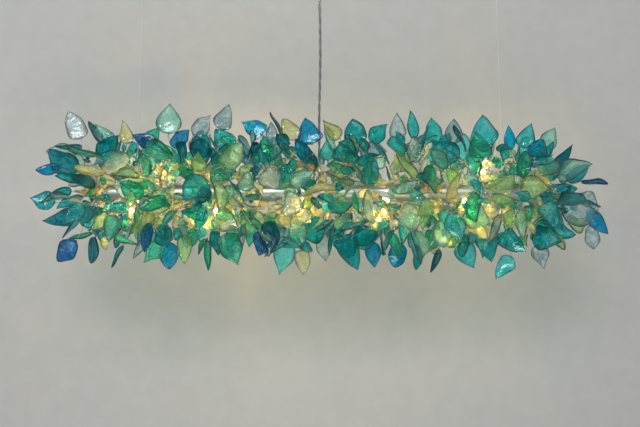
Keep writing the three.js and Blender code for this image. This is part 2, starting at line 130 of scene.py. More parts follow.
# %% Helpers for making and placing pieces
scene = bpy.context.scene
X_AXIS, Y_AXIS, Z_AXIS = Vector((1, 0, 0)), Vector((0, 1, 0)), Vector((0, 0, 1))


def piece(name, data, body, stands_for=()):
    """Links new mesh or curve data as a piece that rides on a body and stands for solid pieces."""
    made = bpy.data.objects.new(name, data)
    scene.collection.objects.link(made)
    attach(made, body)
    if stands_for:
        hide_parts(*stands_for)
    return made


def mesh_from(name, points, faces, material_of=None, smooth=True):
    """A mesh from points and faces, smooth, with an optional material index for each face."""
    mesh = bpy.data.meshes.new(name)
    mesh.from_pydata([tuple(p) for p in points], [], [tuple(f) for f in faces])
    if smooth:
        mesh.polygons.foreach_set("use_smooth", [True] * len(mesh.polygons))
    if material_of is not None:
        mesh.polygons.foreach_set("material_index", material_of)
    mesh.update()
    return mesh


def outward(angle):
    """The direction out of the tube at an angle from straight up, turning to the front."""
    return Vector((0, -math.sin(math.radians(angle)), math.cos(math.radians(angle))))


def on_axis(x_mm):
    return Vector((x_mm * MM, 0, AXIS_Z))


# %% [markdown]
# ## Materials that more than one piece shares
#
# An effect used by several materials is built once as a node group with named inputs and outputs, and
# each material sets its own values. Groups only put out colours and values that change over the
# surface; the shader itself stays in the material.
#
# *Handled surface* gives any opaque finish its slow colour drift and finger smudges. *Drawn lines*
# gives steel the fine lines that polishing along its length leaves.

# %% Node helpers
def new_group(name, inputs, outputs):
    """An empty shader node group with its sockets, and its input and output nodes."""
    group = bpy.data.node_groups.new(name, "ShaderNodeTree")
    for title, kind, value in inputs:
        group.interface.new_socket(title, in_out="INPUT", socket_type=kind).default_value = value
    for title, kind in outputs:
        group.interface.new_socket(title, in_out="OUTPUT", socket_type=kind)
    return group, group.nodes.new("NodeGroupInput"), group.nodes.new("NodeGroupOutput")


def node(tree, kind, links=(), **settings):
    """A node with its settings, linked from (input name or number, source socket or value) pairs."""
    made = tree.nodes.new(kind)
    for key, value in settings.items():
        setattr(made, key, value)
    for socket, source in links:
        if isinstance(source, bpy.types.NodeSocket):
            tree.links.new(source, made.inputs[socket])
        else:
            made.inputs[socket].default_value = source
    return made


def mix_colours(tree, share, one, other, blend="MIX"):
    made = tree.nodes.new("ShaderNodeMix")
    made.data_type = "RGBA"
    made.blend_type = blend
    for socket, source in ((made.inputs[0], share), (made.inputs[6], one), (made.inputs[7], other)):
        if isinstance(source, bpy.types.NodeSocket):
            tree.links.new(source, socket)
        else:
            socket.default_value = source
    return made.outputs[2]


def spread(tree, value, low, high, to_low=0.0, to_high=1.0):
    """A value stretched from one range to another and held inside it."""
    made = node(tree, "ShaderNodeMapRange", [(0, value), (1, low), (2, high), (3, to_low), (4, to_high)])
    return made.outputs[0]


def build_handled_surface():
    group, given, put = new_group(
        "handled_surface",
        [
            ("Colour", "NodeSocketColor", (0.8, 0.8, 0.8, 1)),
            ("Shade", "NodeSocketColor", (0.7, 0.7, 0.7, 1)),
            ("Roughness", "NodeSocketFloat", 0.3),
            ("Smudge", "NodeSocketFloat", 0.1),
            ("Grain", "NodeSocketFloat", 900.0),
        ],
        [("Colour", "NodeSocketColor"), ("Roughness", "NodeSocketFloat"), ("Height", "NodeSocketFloat")],
    )
    place = node(group, "ShaderNodeTexCoord").outputs["Object"]
    slow = node(group, "ShaderNodeTexNoise", [("Vector", place), ("Scale", 28.0), ("Detail", 3.0)])
    fine = node(
        group, "ShaderNodeTexNoise", [("Vector", place), ("Scale", given.outputs["Grain"]), ("Detail", 2.0)]
    )
    drift = spread(group, slow.outputs[0], 0.35, 0.65)
    colour = mix_colours(group, drift, given.outputs["Colour"], given.outputs["Shade"])
    smudged = node(group, "ShaderNodeMath", [(0, drift), (1, given.outputs["Smudge"])], operation="MULTIPLY")
    rough = node(
        group, "ShaderNodeMath", [(0, given.outputs["Roughness"]), (1, smudged.outputs[0])], operation="ADD"
    )
    group.links.new(colour, put.inputs["Colour"])
    group.links.new(rough.outputs[0], put.inputs["Roughness"])
    group.links.new(fine.outputs[0], put.inputs["Height"])
    return group


def build_drawn_lines():
    group, given, put = new_group(
        "drawn_lines",
        [
            ("Along", "NodeSocketVector", (6.0, 900.0, 900.0)),
            ("Roughness", "NodeSocketFloat", 0.25),
            ("Variation", "NodeSocketFloat", 0.15),
        ],
        [("Roughness", "NodeSocketFloat"), ("Height", "NodeSocketFloat")],
    )
    place = node(group, "ShaderNodeTexCoord").outputs["Object"]
    drawn = node(
        group, "ShaderNodeVectorMath", [(0, place), (1, given.outputs["Along"])], operation="MULTIPLY"
    )
    lines = node(group, "ShaderNodeTexNoise", [("Vector", drawn.outputs[0]), ("Scale", 1.0), ("Detail", 3.0)])
    strength = node(
        group, "ShaderNodeMath", [(0, lines.outputs[0]), (1, given.outputs["Variation"])],
        operation="MULTIPLY",
    )
    rough = node(
        group, "ShaderNodeMath", [(0, given.outputs["Roughness"]), (1, strength.outputs[0])], operation="ADD"
    )
    group.links.new(rough.outputs[0], put.inputs["Roughness"])
    group.links.new(lines.outputs[0], put.inputs["Height"])
    return group


HANDLED_SURFACE = build_handled_surface()
DRAWN_LINES = build_drawn_lines()


def new_material(name):
    made = bpy.data.materials.new(name)
    made.use_nodes = True
    tree = made.node_tree
    tree.nodes.clear()
    shader = tree.nodes.new("ShaderNodeBsdfPrincipled")
    out = tree.nodes.new("ShaderNodeOutputMaterial")
    tree.links.new(shader.outputs[0], out.inputs[0])
    return made, tree, shader, out


def placed_group(tree, group, **values):
    made = tree.nodes.new("ShaderNodeGroup")
    made.node_tree = group
    for key, value in values.items():
        made.inputs[key].default_value = value
    return made


def bump(tree, shader, height, strength, distance=0.0005):
    made = node(tree, "ShaderNodeBump", [("Strength", strength), ("Distance", distance), ("Height", height)])
    tree.links.new(made.outputs[0], shader.inputs["Normal"])


def handled_material(name, colour, shade, roughness, smudge=0.1, metallic=0.0, grain=900.0, relief=0.05):
    made, tree, shader, _ = new_material(name)
    surface = placed_group(
        tree, HANDLED_SURFACE, Colour=(*colour, 1), Shade=(*shade, 1), Roughness=roughness, Smudge=smudge,
        Grain=grain
    )
    tree.links.new(surface.outputs["Colour"], shader.inputs["Base Color"])
    tree.links.new(surface.outputs["Roughness"], shader.inputs["Roughness"])
    shader.inputs["Metallic"].default_value = metallic
    bump(tree, shader, surface.outputs["Height"], relief)
    return made


def drawn_steel(name, colour, shade, along, roughness, variation, relief):
    made, tree, shader, _ = new_material(name)
    surface = placed_group(tree, HANDLED_SURFACE, Colour=(*colour, 1), Shade=(*shade, 1))
    lines = placed_group(tree, DRAWN_LINES, Along=along, Roughness=roughness, Variation=variation)
    tree.links.new(surface.outputs["Colour"], shader.inputs["Base Color"])
    tree.links.new(lines.outputs["Roughness"], shader.inputs["Roughness"])
    shader.inputs["Metallic"].default_value = 1.0
    bump(tree, shader, lines.outputs["Height"], relief)
    return made


# %% [markdown]
# ## Opaque finishes
#
# The tube is satin steel whose lines run along it. The turned fittings are polished and plated, the
# bracket is dull zinc, the rose cover is white enamel, and the bulb holders are unglazed ceramic.

# %% Make the opaque finishes
SATIN_STEEL = drawn_steel(
    "satin_steel", (0.56, 0.56, 0.54), (0.46, 0.46, 0.45), (8.0, 1500.0, 1500.0), 0.27, 0.16, 0.12
)
TURNED_STEEL = drawn_steel(
    "turned_steel", (0.62, 0.62, 0.60), (0.54, 0.54, 0.53), (1200.0, 90.0, 90.0), 0.18, 0.14, 0.1
)
BRIGHT_CHROME = handled_material(
    "bright_chrome", (0.68, 0.69, 0.69), (0.6, 0.61, 0.61), 0.07, 0.12, 1.0, 600.0, 0.02
)
ZINC = handled_material("zinc_plate", (0.55, 0.56, 0.57), (0.42, 0.44, 0.46), 0.38, 0.2, 1.0, 1400.0, 0.12)
WHITE_ENAMEL = handled_material(
    "white_enamel", (0.83, 0.83, 0.8), (0.78, 0.78, 0.75), 0.32, 0.12, 0.0, 500.0, 0.05
)
CERAMIC = handled_material(
    "holder_ceramic", (0.76, 0.73, 0.66), (0.66, 0.62, 0.54), 0.55, 0.12, 0.0, 1600.0, 0.2
)
GREY_PLASTIC = handled_material(
    "grey_plastic", (0.3, 0.31, 0.32), (0.24, 0.25, 0.26), 0.48, 0.1, 0.0, 1500.0, 0.12
)
WHITE_PLASTIC = handled_material(
    "white_plastic", (0.76, 0.76, 0.73), (0.7, 0.7, 0.67), 0.42, 0.1, 0.0, 1500.0, 0.1
)
LEAF_WIRE = handled_material("leaf_wire", (0.5, 0.48, 0.44), (0.36, 0.34, 0.3), 0.24, 0.15, 1.0, 2000.0, 0.05)
CORE_COPPER = handled_material(
    "tinned_cores", (0.09, 0.09, 0.09), (0.05, 0.05, 0.05), 0.4, 0.1, 0.4, 2500.0, 0.2
)
print("opaque finishes:", len(bpy.data.materials))

# %% [markdown]
# ## The steel cables
#
# Each cable is a one-millimetre rope of twisted wires, pulled straight by the weight of the light. At
# this size the twist shows only as a fine diagonal grain, so the cable is a round curve whose material
# carries the lay of the strands as bands that climb round it, in bumps, in roughness and in painted
# shade: the one steel is coloured lighter and darker band by band, as light catches the twist. It ends
# inside the ceiling anchor, whose cap hides the ball that a real cable has pressed on its end.

# %% Make the cables
SWING_Z = -16.8 * MM
CABLE = {"radius": 0.5, "at_tube": 348, "at_ceiling": 334.5}
GRIPPER = {"radius": 4.5, "length": 24, "start": 17.2}


def stranded_steel():
    made, tree, shader, _ = new_material("stranded_steel")
    place = node(tree, "ShaderNodeTexCoord").outputs["Object"]
    strands = node(
        tree, "ShaderNodeTexWave", [("Vector", place), ("Scale", 900.0), ("Distortion", 1.5)],
        bands_direction="DIAGONAL",
    )
    # Painted shade: the steel's colour runs lighter and darker along the strands, standing in for how light
    # catches the twist.
    colour = mix_colours(tree, strands.outputs[1], (0.8, 0.8, 0.79, 1), (0.5, 0.5, 0.5, 1))
    tree.links.new(colour, shader.inputs["Base Color"])
    tree.links.new(spread(tree, strands.outputs[1], 0, 1, 0.3, 0.5), shader.inputs["Roughness"])
    shader.inputs["Metallic"].default_value = 1.0
    bump(tree, shader, strands.outputs[1], 0.5, 0.0002)
    return made


STRANDED = stranded_steel()


def curve_from(name, points, radius, material, sides=3):
    """A round curve through points, with closed ends."""
    curve = bpy.data.curves.new(name, "CURVE")
    curve.dimensions = "3D"
    curve.bevel_depth = radius
    curve.bevel_resolution = sides
    curve.use_fill_caps = True
    spline = curve.splines.new("POLY")
    spline.points.add(len(points) - 1)
    for point, place in zip(spline.points, points):
        point.co = (*place, 1)
    spline.use_smooth = True
    curve.materials.append(material)
    return curve


cable_lines = {}
for side, hand in ((-1, "left"), (1, "right")):
    foot = on_axis(side * CABLE["at_tube"])
    ball = Vector((side * CABLE["at_ceiling"] * MM, 0, SWING_Z))
    up = (ball - foot).normalized()
    start = foot + up * (GRIPPER["start"] + 5) * MM
    cable_lines[hand] = (foot, ball, up)
    route = [start.lerp(ball, k / 15) for k in range(16)]
    rope = piece(
        "steel_cable_" + hand,
        curve_from("steel_cable_" + hand, route, CABLE["radius"] * MM, STRANDED),
        "light",
        ["suspension_cable_" + hand],
    )
    print(rope.name, "length", round((ball - start).length, 4))

# %% [markdown]
# ## The power cord
#
# The cord is a clear sheath, 6 mm across, with two tinned cores twisted together inside it. It hangs
# nearly straight. The sheath and the cores are separate curves on the same line, because it is the
# dark twist seen through the clear wall that makes such a cord look the way it does.

# %% Make the power cord
CORD_RADIUS = 3.0


def cord_line(steps):
    top, bottom = SWING_Z - 0.4 * MM, AXIS_Z + 14 * MM
    line = []
    for k in range(steps + 1):
        share = k / steps
        sway = math.sin(math.pi * share) ** 2
        x, y = 2 * sway * math.sin(5 * share), 1.2 * sway * math.cos(4 * share)
        line.append(Vector((x * MM, y * MM, top + (bottom - top) * share)))
    return line


def clear_sheath():
    made, tree, shader, out = new_material("clear_sheath")
    surface = placed_group(
        tree, HANDLED_SURFACE, Colour=(0.93, 0.94, 0.92, 1), Shade=(0.86, 0.88, 0.86, 1), Roughness=0.08,
        Smudge=0.1, Grain=700.0
    )
    tree.links.new(surface.outputs["Colour"], shader.inputs["Base Color"])
    tree.links.new(surface.outputs["Roughness"], shader.inputs["Roughness"])
    shader.inputs["Transmission Weight"].default_value = 0.96
    shader.inputs["IOR"].default_value = 1.3
    bump(tree, shader, surface.outputs["Height"], 0.04)
    let_light_past(tree, shader, out, (0.85, 0.87, 0.85, 1))
    return made


def let_light_past(tree, shader, out, tint):
    """Shadow rays go through the glass tinted instead of stopping, so that it never casts a black shadow."""
    path = tree.nodes.new("ShaderNodeLightPath")
    see_through = tree.nodes.new("ShaderNodeBsdfTransparent")
    see_through.inputs[0].default_value = tint
    mixed = tree.nodes.new("ShaderNodeMixShader")
    tree.links.new(path.outputs["Is Shadow Ray"], mixed.inputs[0])
    tree.links.new(shader.outputs[0], mixed.inputs[1])
    tree.links.new(see_through.outputs[0], mixed.inputs[2])
    tree.links.new(mixed.outputs[0], out.inputs[0])


CLEAR_SHEATH = clear_sheath()
cord_route = cord_line(38)
for k in range(2):
    twist = [
        p + Vector((math.cos(a), math.sin(a), 0)) * 1.0 * MM
        for i, p in enumerate(cord_line(150))
        for a in [i * 0.42 + k * math.pi]
    ]
    core = curve_from(f"cord_core_{k + 1}", twist, 0.98 * MM, CORE_COPPER, 1)
    piece(f"cord_core_{k + 1}", core, "light")
sheath = piece(
    "cord_sheath",
    curve_from("cord_sheath", cord_route, CORD_RADIUS * MM, CLEAR_SHEATH, 4),
    "light",
    ["power_cord"],
)

# %% [markdown]
# ## Turned pieces
#
# The tube, its end caps, the bulb holders, the grippers, the anchors and the rose cover are all round
# about an axis, as if they had come off a lathe. Each is drawn as a half profile of radii and heights
# and spun. Edges where the profile turns a sharp corner are marked sharp, so that smooth shading stays
# crisp there instead of running round the corner.

# %% A lathe for smooth round pieces
def turned_mesh(name, profile, at, direction, sides=72, sharp=32):
    """A closed round mesh from (radius, height) points in millimetres, set along direction."""
    turn = Z_AXIS.rotation_difference(direction)
    points, faces, rings = [], [], []
    for radius, height in profile:
        if radius < 1e-6:
            rings.append([len(points)])
            points.append(at + turn @ Vector((0, 0, height * MM)))
            continue
        rings.append(list(range(len(points), len(points) + sides)))
        for k in range(sides):
            a = 2 * math.pi * k / sides
            points.append(
                at + turn @ Vector((radius * MM * math.cos(a), radius * MM * math.sin(a), height * MM))
            )
    closed = profile[0] == profile[-1] and profile[0][0] > 1e-6
    if closed:
        rings[-1] = rings[0]
        points = points[: len(points) - sides]
    for low, high in zip(rings, rings[1:]):
        for k in range(sides):
            n = (k + 1) % sides
            if len(low) == 1:
                faces.append((low[0], high[n], high[k]))
            elif len(high) == 1:
                faces.append((low[k], low[n], high[0]))
            else:
                faces.append((low[k], low[n], high[n], high[k]))
    mesh = mesh_from(name, points, faces)
    mesh.set_sharp_from_angle(angle=math.radians(sharp))
    return mesh


def turned_piece(name, profile, at, direction, material, body, stands_for, sides=72):
    mesh = turned_mesh(name, profile, at, direction, sides)
    mesh.materials.append(material)
    return piece(name, mesh, body, stands_for)


# %% [markdown]
# ## The tube
#
# The tube is a 32 mm steel pipe with a hole for each bulb holder, for the cord's gland and for the two
# grippers. The holes are real cuts: a boolean modifier takes plugs out of the pipe's wall, and its
# result is applied, because a painted hole would show from the side.

# %% Where things leave the tube
BULB_TILT = 34
BULBS = [(-352 + 158 * k, outward(180 - BULB_TILT)) for k in range(5)] + [
    (-300, outward(0)), (311, outward(0))
]
HOLDER_RADIUS = 8.6


def cut_away(mesh, plugs):
    """The mesh with the plugs cut out of it."""
    body = bpy.data.objects.new("being_cut", mesh)
    scene.collection.objects.link(body)
    for k, plug in enumerate(plugs):
        tool = bpy.data.objects.new(f"cutter_{k}", plug)
        scene.collection.objects.link(tool)
        cut = body.modifiers.new(f"cut_{k}", "BOOLEAN")
        cut.operation, cut.solver, cut.object = "DIFFERENCE", "EXACT", tool
    made = bpy.data.meshes.new_from_object(body.evaluated_get(bpy.context.evaluated_depsgraph_get()))
    for thing in [o for o in scene.objects if o.name.startswith(("being_cut", "cutter_"))]:
        bpy.data.objects.remove(thing)
    return made


def bar_mesh(radius, low, high, at, direction, sides=40):
    return turned_mesh("bar", [(0, low), (radius, low), (radius, high), (0, high)], at, direction, sides)


# %% Make the tube and its end caps
R, H = TUBE_RADIUS / MM, TUBE_HALF / MM
BORE = R - 1.5
pipe = turned_mesh(
    "light_tube",
    [(BORE, -H), (R - 0.3, -H), (R, -H + 0.4), (R, H - 0.4), (R - 0.3, H), (BORE, H), (BORE, -H)], on_axis(0),
    X_AXIS, 96
)
plugs = [bar_mesh(HOLDER_RADIUS + 0.4, 6, 20, on_axis(x), out) for x, out in BULBS]
plugs.append(bar_mesh(5.2, 6, 20, on_axis(0), Z_AXIS))
plugs += [bar_mesh(2.6, 6, 20, foot, up) for foot, ball, up in cable_lines.values()]
pipe = cut_away(pipe, plugs)
pipe.materials.clear()
pipe.materials.append(SATIN_STEEL)
pipe.set_sharp_from_angle(angle=math.radians(32))
piece("satin_tube", pipe, "light", ["light_tube"])
print("tube faces:", len(pipe.polygons))

for side, hand in ((-1, "left"), (1, "right")):
    turned_piece(
        "tube_cap_" + hand,
        [
            (0, -9), (BORE - 0.4, -9), (BORE - 0.4, 0.4), (15.9, 0.4), (15.9, 2.4), (15.6, 3.0), (15, 3.4),
            (6, 3.4), (5.5, 3.1), (0, 3.1),
        ],
        on_axis(side * H),
        Vector((side, 0, 0)),
        TURNED_STEEL,
        "light",
        ["end_cap_" + hand],
    )

# %% [markdown]
# ## Bulb holders and the parts in the tube's wall
#
# A two-pin holder is a small drum of unglazed ceramic with an oblong pocket for the bulb's pinch and
# two pin holes below it. Its flange rests on the tube. The cord enters through a screwed gland, and each
# cable enters a gripper: a barrel whose sprung nozzle is pressed in to let the cable slide.

# %% Make the holders, the gland, the grippers and the nozzles
def box_mesh(size, at, along=X_AXIS, up=Z_AXIS):
    """A block of a size in millimetres on its own axes."""
    side = up.cross(along)
    corners = [(x, y, z) for x in (-0.5, 0.5) for y in (-0.5, 0.5) for z in (-0.5, 0.5)]
    points = [
        at + (along * (x * size[0]) + side * (y * size[1]) + up * (z * size[2])) * MM for x, y, z in corners
    ]
    faces = [(0, 1, 3, 2), (4, 6, 7, 5), (0, 4, 5, 1), (2, 3, 7, 6), (0, 2, 6, 4), (1, 5, 7, 3)]
    return mesh_from("block", points, faces, smooth=False)


def rounded(mesh, width, sharp=40):
    """The mesh with a small bevel on its sharp edges."""
    body = bpy.data.objects.new("being_cut", mesh)
    scene.collection.objects.link(body)
    bevel = body.modifiers.new("rounding", "BEVEL")
    bevel.width, bevel.segments, bevel.angle_limit = width * MM, 2, math.radians(sharp)
    made = bpy.data.meshes.new_from_object(body.evaluated_get(bpy.context.evaluated_depsgraph_get()))
    bpy.data.objects.remove(body)
    made.polygons.foreach_set("use_smooth", [True] * len(made.polygons))
    made.set_sharp_from_angle(angle=math.radians(sharp))
    return made


def cut_piece(name, mesh, plugs, bevel, material, body, stands_for):
    made = rounded(cut_away(mesh, plugs), bevel)
    made.materials.clear()
    made.materials.append(material)
    return piece(name, made, body, stands_for)


for k, (x, out) in enumerate(BULBS, 1):
    profile = [
        (0, 1.5), (7.9, 1.5), (8.6, 2.2), (8.6, 16.6), (10.2, 16.6), (10.2, 17.7), (9.7, 18.2), (0, 18.2)
    ]
    drum = turned_mesh("holder", profile, on_axis(x), out, 56)
    plugs = [box_mesh((10.8, 6, 6.5), on_axis(x) + out * 15.2 * MM, X_AXIS, out)]
    plugs += [bar_mesh(0.95, 4, 14, on_axis(x) + X_AXIS * side * 4 * MM, out, 16) for side in (-1, 1)]
    cut_piece(
        f"ceramic_holder_{k}", drum, plugs, 0.25, CERAMIC, "light", [f"lamp_holder_{k}"]
    )

gland = [
    (3.4, 11), (4.8, 11), (4.8, 16.4), (8.7, 16.4), (9, 16.7), (9, 20.7), (8.7, 21), (7.4, 21.6),
    (7.4, 25.6), (7.1, 26.4), (5.4, 30.4), (4.9, 31), (3.4, 31), (3.4, 11),
]
turned_piece(
    "screwed_gland", gland, on_axis(0), Z_AXIS, BRIGHT_CHROME, "light", ["cord_gland"]
)
GRIP = [
    (0, 10), (2, 10), (2, 16.7), (3.7, 16.7), (4.5, 17.5), (4.5, 24.6), (4.2, 24.9), (4.2, 25.5), (4.5, 25.8),
    (4.5, 39.7),
    (4.3, 40.4), (3.6, 41.1), (2.9, 41.2), (2.9, 34.2), (1.2, 34.2), (1.2, 21.2), (0, 21.2),
]
NOZZLE = [(1.2, 36.7), (2.5, 36.7), (2.5, 44.2), (2.3, 44.9), (2, 45.2), (1.2, 45.2), (1.2, 36.7)]
for hand, (foot, ball, up) in cable_lines.items():
    turned_piece(
        "gripper_" + hand, GRIP, foot, up, BRIGHT_CHROME, "light", ["cable_gripper_" + hand],
        48,
    )
    nozzle = turned_piece(
        "nozzle_tip_" + hand, NOZZLE, foot, up, TURNED_STEEL, "nozzle_" + hand,
        ["release_nozzle_" + hand], 40
    )
    print(nozzle.name, "rides on", "nozzle_" + hand)

# %% [markdown]
# ## Ceiling fittings
#
# The rose is a spun and enamelled cup that hides the bracket, the cord clamp and the terminal block.
# Two pan-head screws through its notches hold it. Each cable ends in an anchor: a disc against the
# ceiling, and a cap that screws up over the ball. They are out of the usual view, but the piece is to
# be looked at from every side, so they get the same finish as the rest.

# %% Make the rose, its screws and the anchors
ROSE = [
    (8, -32), (46, -32), (47.8, -31.5), (48.8, -30.8), (49.6, -29.6), (50, -28),
    (50, -0.5), (48.5, -0.5), (48.5, -27.6), (45, -30.5), (8, -30.5), (8, -32),
]
ceiling = Vector((0, 0, 0))
rose = turned_mesh("rose", ROSE, ceiling, Z_AXIS, 112)
notches = [box_mesh((104, 4.8, 11), Vector((0, 0, -5.2 * MM)))]
rose = cut_away(rose, notches)
rose.materials.clear()
rose.materials.append(WHITE_ENAMEL)
rose.set_sharp_from_angle(angle=math.radians(32))
piece("enamel_rose", rose, "cover", ["rose_cover"])
for side, hand in ((-1, "left"), (1, "right")):
    profile = [(0, 42), (1.5, 42), (1.5, 50.5), (3.6, 50.5), (3.6, 51.2), (3.2, 52.3), (2.4, 52.9), (0, 53)]
    at, out = Vector((0, 0, -8 * MM)), X_AXIS * side
    screw = turned_mesh("screw", profile, at, out, 40)
    slots = [box_mesh((1.6, 0.9, 8), at + out * 53 * MM)]
    cut_piece(
        "pan_screw_" + hand, screw, slots, 0.08, BRIGHT_CHROME, "ceiling",
        ["cover_screw_" + hand],
    )

    above = Vector((side * CABLE["at_ceiling"] * MM, 0, 0))
    base = [
        (0, -10), (7.1, -10), (7.4, -9.7), (7.4, -3), (10.7, -3), (11, -2.7), (11, -0.3), (10.8, 0), (0, 0)
    ]
    turned_piece(
        "anchor_disc_" + hand, base, above, Z_AXIS, BRIGHT_CHROME, "ceiling",
        ["anchor_base_" + hand],
    )
    barrel = [
        (1.9, -24), (8, -24), (9.3, -23.4), (10, -22), (10, -9), (9.6, -8.6), (9.6, -7.8), (10, -7.4),
        (10, -3.4), (7.8, -3.4), (7.8, -10.6), (5, -10.6), (5, -20.4), (1.9, -20.4), (1.9, -24),
    ]
    turned_piece(
        "anchor_barrel_" + hand, barrel, above, Z_AXIS, BRIGHT_CHROME, "ceiling",
        ["anchor_cap_" + hand],
    )
print("ceiling fittings made")

# %% [markdown]
# ## The hidden ceiling parts and the loom
#
# The bracket is a pressed strap with its ears turned down, the clamp is a hexagonal nut with a sleeve,
# and the terminal block is moulded with three ways through it and two wells for clamp screws by each
# way. Along the tube run the wires that feed the holders, in a sleeve that sags a little between them.

# %% Make the bracket, the clamp, the terminal block and the loom
strap = box_mesh((92, 22, 2.5), Vector((0, 0, -1.25 * MM)))
holes = [bar_mesh(2.6, -4, 2, Vector((side * 28 * MM, 0, 0)), Z_AXIS, 32) for side in (-1, 1)]
cut_piece("pressed_strap", strap, holes, 0.4, ZINC, "ceiling", ["ceiling_bracket"])
for side, hand in ((-1, "left"), (1, "right")):
    ear = box_mesh((2.5, 16, 12.2), Vector((side * 44.75 * MM, 0, -7.9 * MM)))
    hole = bar_mesh(1.9, 40, 50, Vector((0, 0, -8 * MM)), X_AXIS * side, 28)
    cut_piece("strap_ear_" + hand, ear, [hole], 0.4, ZINC, "ceiling", [])
nut = rounded(turned_mesh("nut", [(0, -8), (9, -8), (9, -2.9), (0, -2.9)], ceiling, Z_AXIS, 6), 0.5, 20)
nut.materials.append(GREY_PLASTIC)
piece("clamp_nut", nut, "ceiling", ["cord_clamp"])
sleeve = [
    (0, -16), (5.8, -16), (6.2, -15.6), (6.2, -11.6), (5.9, -11.3), (5.9, -10.7), (6.2, -10.4), (6.2, -8.1),
    (0, -8.1),
]
turned_piece("clamp_sleeve", sleeve, ceiling, Z_AXIS, GREY_PLASTIC, "ceiling", [])
block = box_mesh((22, 15, 11), Vector((28 * MM, 0, -8.4 * MM)))
ways = [bar_mesh(1.8, -9, 9, Vector(((28 + dx) * MM, 0, -9 * MM)), Y_AXIS, 24) for dx in (-7, 0, 7)]
wells = [
    bar_mesh(1.5, -15, -11.4, Vector(((28 + dx) * MM, y * MM, 0)), Z_AXIS, 20) for dx in (-7, 0, 7) for y in (
        -4, 4
    )
]
cut_piece(
    "screw_terminal", block, ways + wells, 0.5, WHITE_PLASTIC, "ceiling", ["terminal_block"]
)
loom_line = [
    Vector((x * MM, (9.5 + 0.4 * math.sin(x / 37)) * MM, AXIS_Z + (-5 - 0.5 * math.sin(x / 50) ** 2) * MM))
    for x in (-372 + 702 * k / 60 for k in range(61))
]
piece(
    "sleeved_wires", curve_from("sleeved_wires", loom_line, 2 * MM, GREY_PLASTIC, 3), "light",
    ["wiring_loom"],
)

# %% [markdown]
# ## Where the leaves stand
#
# The solid model scatters its leaves with a small repeatable random stream: a leaf is proposed
# somewhere in the cloud, given the nearest stud whose wire can reach it, and kept only if neither leaf
# nor wire touches anything already there. The same steps are followed here, number for number, so each
# glass leaf stands where its solid one does. The studs come first. Their turns follow a fixed step, as
# leaves do round a stem, and move on where a bulb, a cable or the cord is in the way.

# %% The studs that the wires spring from
HUB = {
    "radius": 3.5, "head": 5, "height": 5, "count": 22, "reach": 384, "turn": 137.5, "step": 20, "room": 17
}
LEAF = {"shortest": 46, "longest": 70, "thick": 3.6, "cup": 4, "count": 300, "most": 15, "farthest": 175}
SHELL = {"radius": 108, "half": 500, "power": 5, "inner": 0.55}
GAP = 0.4
DROP = 450.0


def arr(x, y, z):
    return np.array([x, y, z], float)


def out_mm(angle):
    a = angle * (math.pi / 180)
    return arr(0, -math.sin(a), math.cos(a))


def axis_mm(x):
    return arr(x, 0, -DROP)


def unit(v):
    return v * (1 / math.sqrt(v[0] * v[0] + v[1] * v[1] + v[2] * v[2]))


def cross(a, b):
    return arr(a[1] * b[2] - a[2] * b[1], a[2] * b[0] - a[0] * b[2], a[0] * b[1] - a[1] * b[0])


def length_of(v):
    return math.sqrt(v[0] * v[0] + v[1] * v[1] + v[2] * v[2])


bulbs_mm = [(-352 + 158 * k, out_mm(180 - BULB_TILT)) for k in range(5)] + [
    (-300, out_mm(0)), (311, out_mm(0))
]
cables_mm = []
for side in (-1, 1):
    foot, ball = arr(side * 348, 0, -DROP), arr(side * 334.5, 0, -16.8)
    cables_mm.append((foot, ball, unit(ball - foot)))
outlets = [*bulbs_mm, (0, out_mm(0)), *[(foot[0], arr(0, 0, 1)) for foot, _, _ in cables_mm]]

hubs = []
for k in range(HUB["count"]):
    at = axis_mm(-HUB["reach"] + (2 * HUB["reach"] * k) / (HUB["count"] - 1))
    foot = 16 + GAP
    angle = k * HUB["turn"]
    while any(
        length_of(axis_mm(x) + out * foot - (at + out_mm(angle) * foot)) < HUB["room"] for x, out in outlets
    ):
        angle += HUB["step"]
    hubs.append({"at": at, "out": out_mm(angle), "foot": foot})
for side in (-1, 1):
    hubs.append({"at": axis_mm(side * 400), "out": arr(side, 0, 0), "foot": 3.4 + GAP})
for hub in hubs:
    hub["top"] = hub["at"] + hub["out"] * (hub["foot"] + HUB["height"])
print("studs:", len(hubs))


# %% [markdown]
# ## Keeping things apart
#
# Each leaf and each wire has a box round it, and a new box is kept only if it meets none that is already
# there. The tube, the cables, and the space each bulb needs to be drawn out are boxes too. Two boxes are
# apart if any of fifteen directions shows a gap between them. NumPy tests a new box against all the
# others at once, which keeps this to a few seconds.

# %% The random stream and the boxes that keep things apart
class Stream:
    """Repeatable random numbers from 0 to 1."""

    def __init__(self, seed):
        self.state = seed

    def __call__(self):
        self.state = (self.state * 1664525 + 1013904223) % 4294967296
        return self.state / 4294967296

    def direction(self):
        z = 2 * self() - 1
        turn = 2 * math.pi * self()
        flat = math.sqrt(1 - z * z)
        return arr(flat * math.cos(turn), flat * math.sin(turn), z)


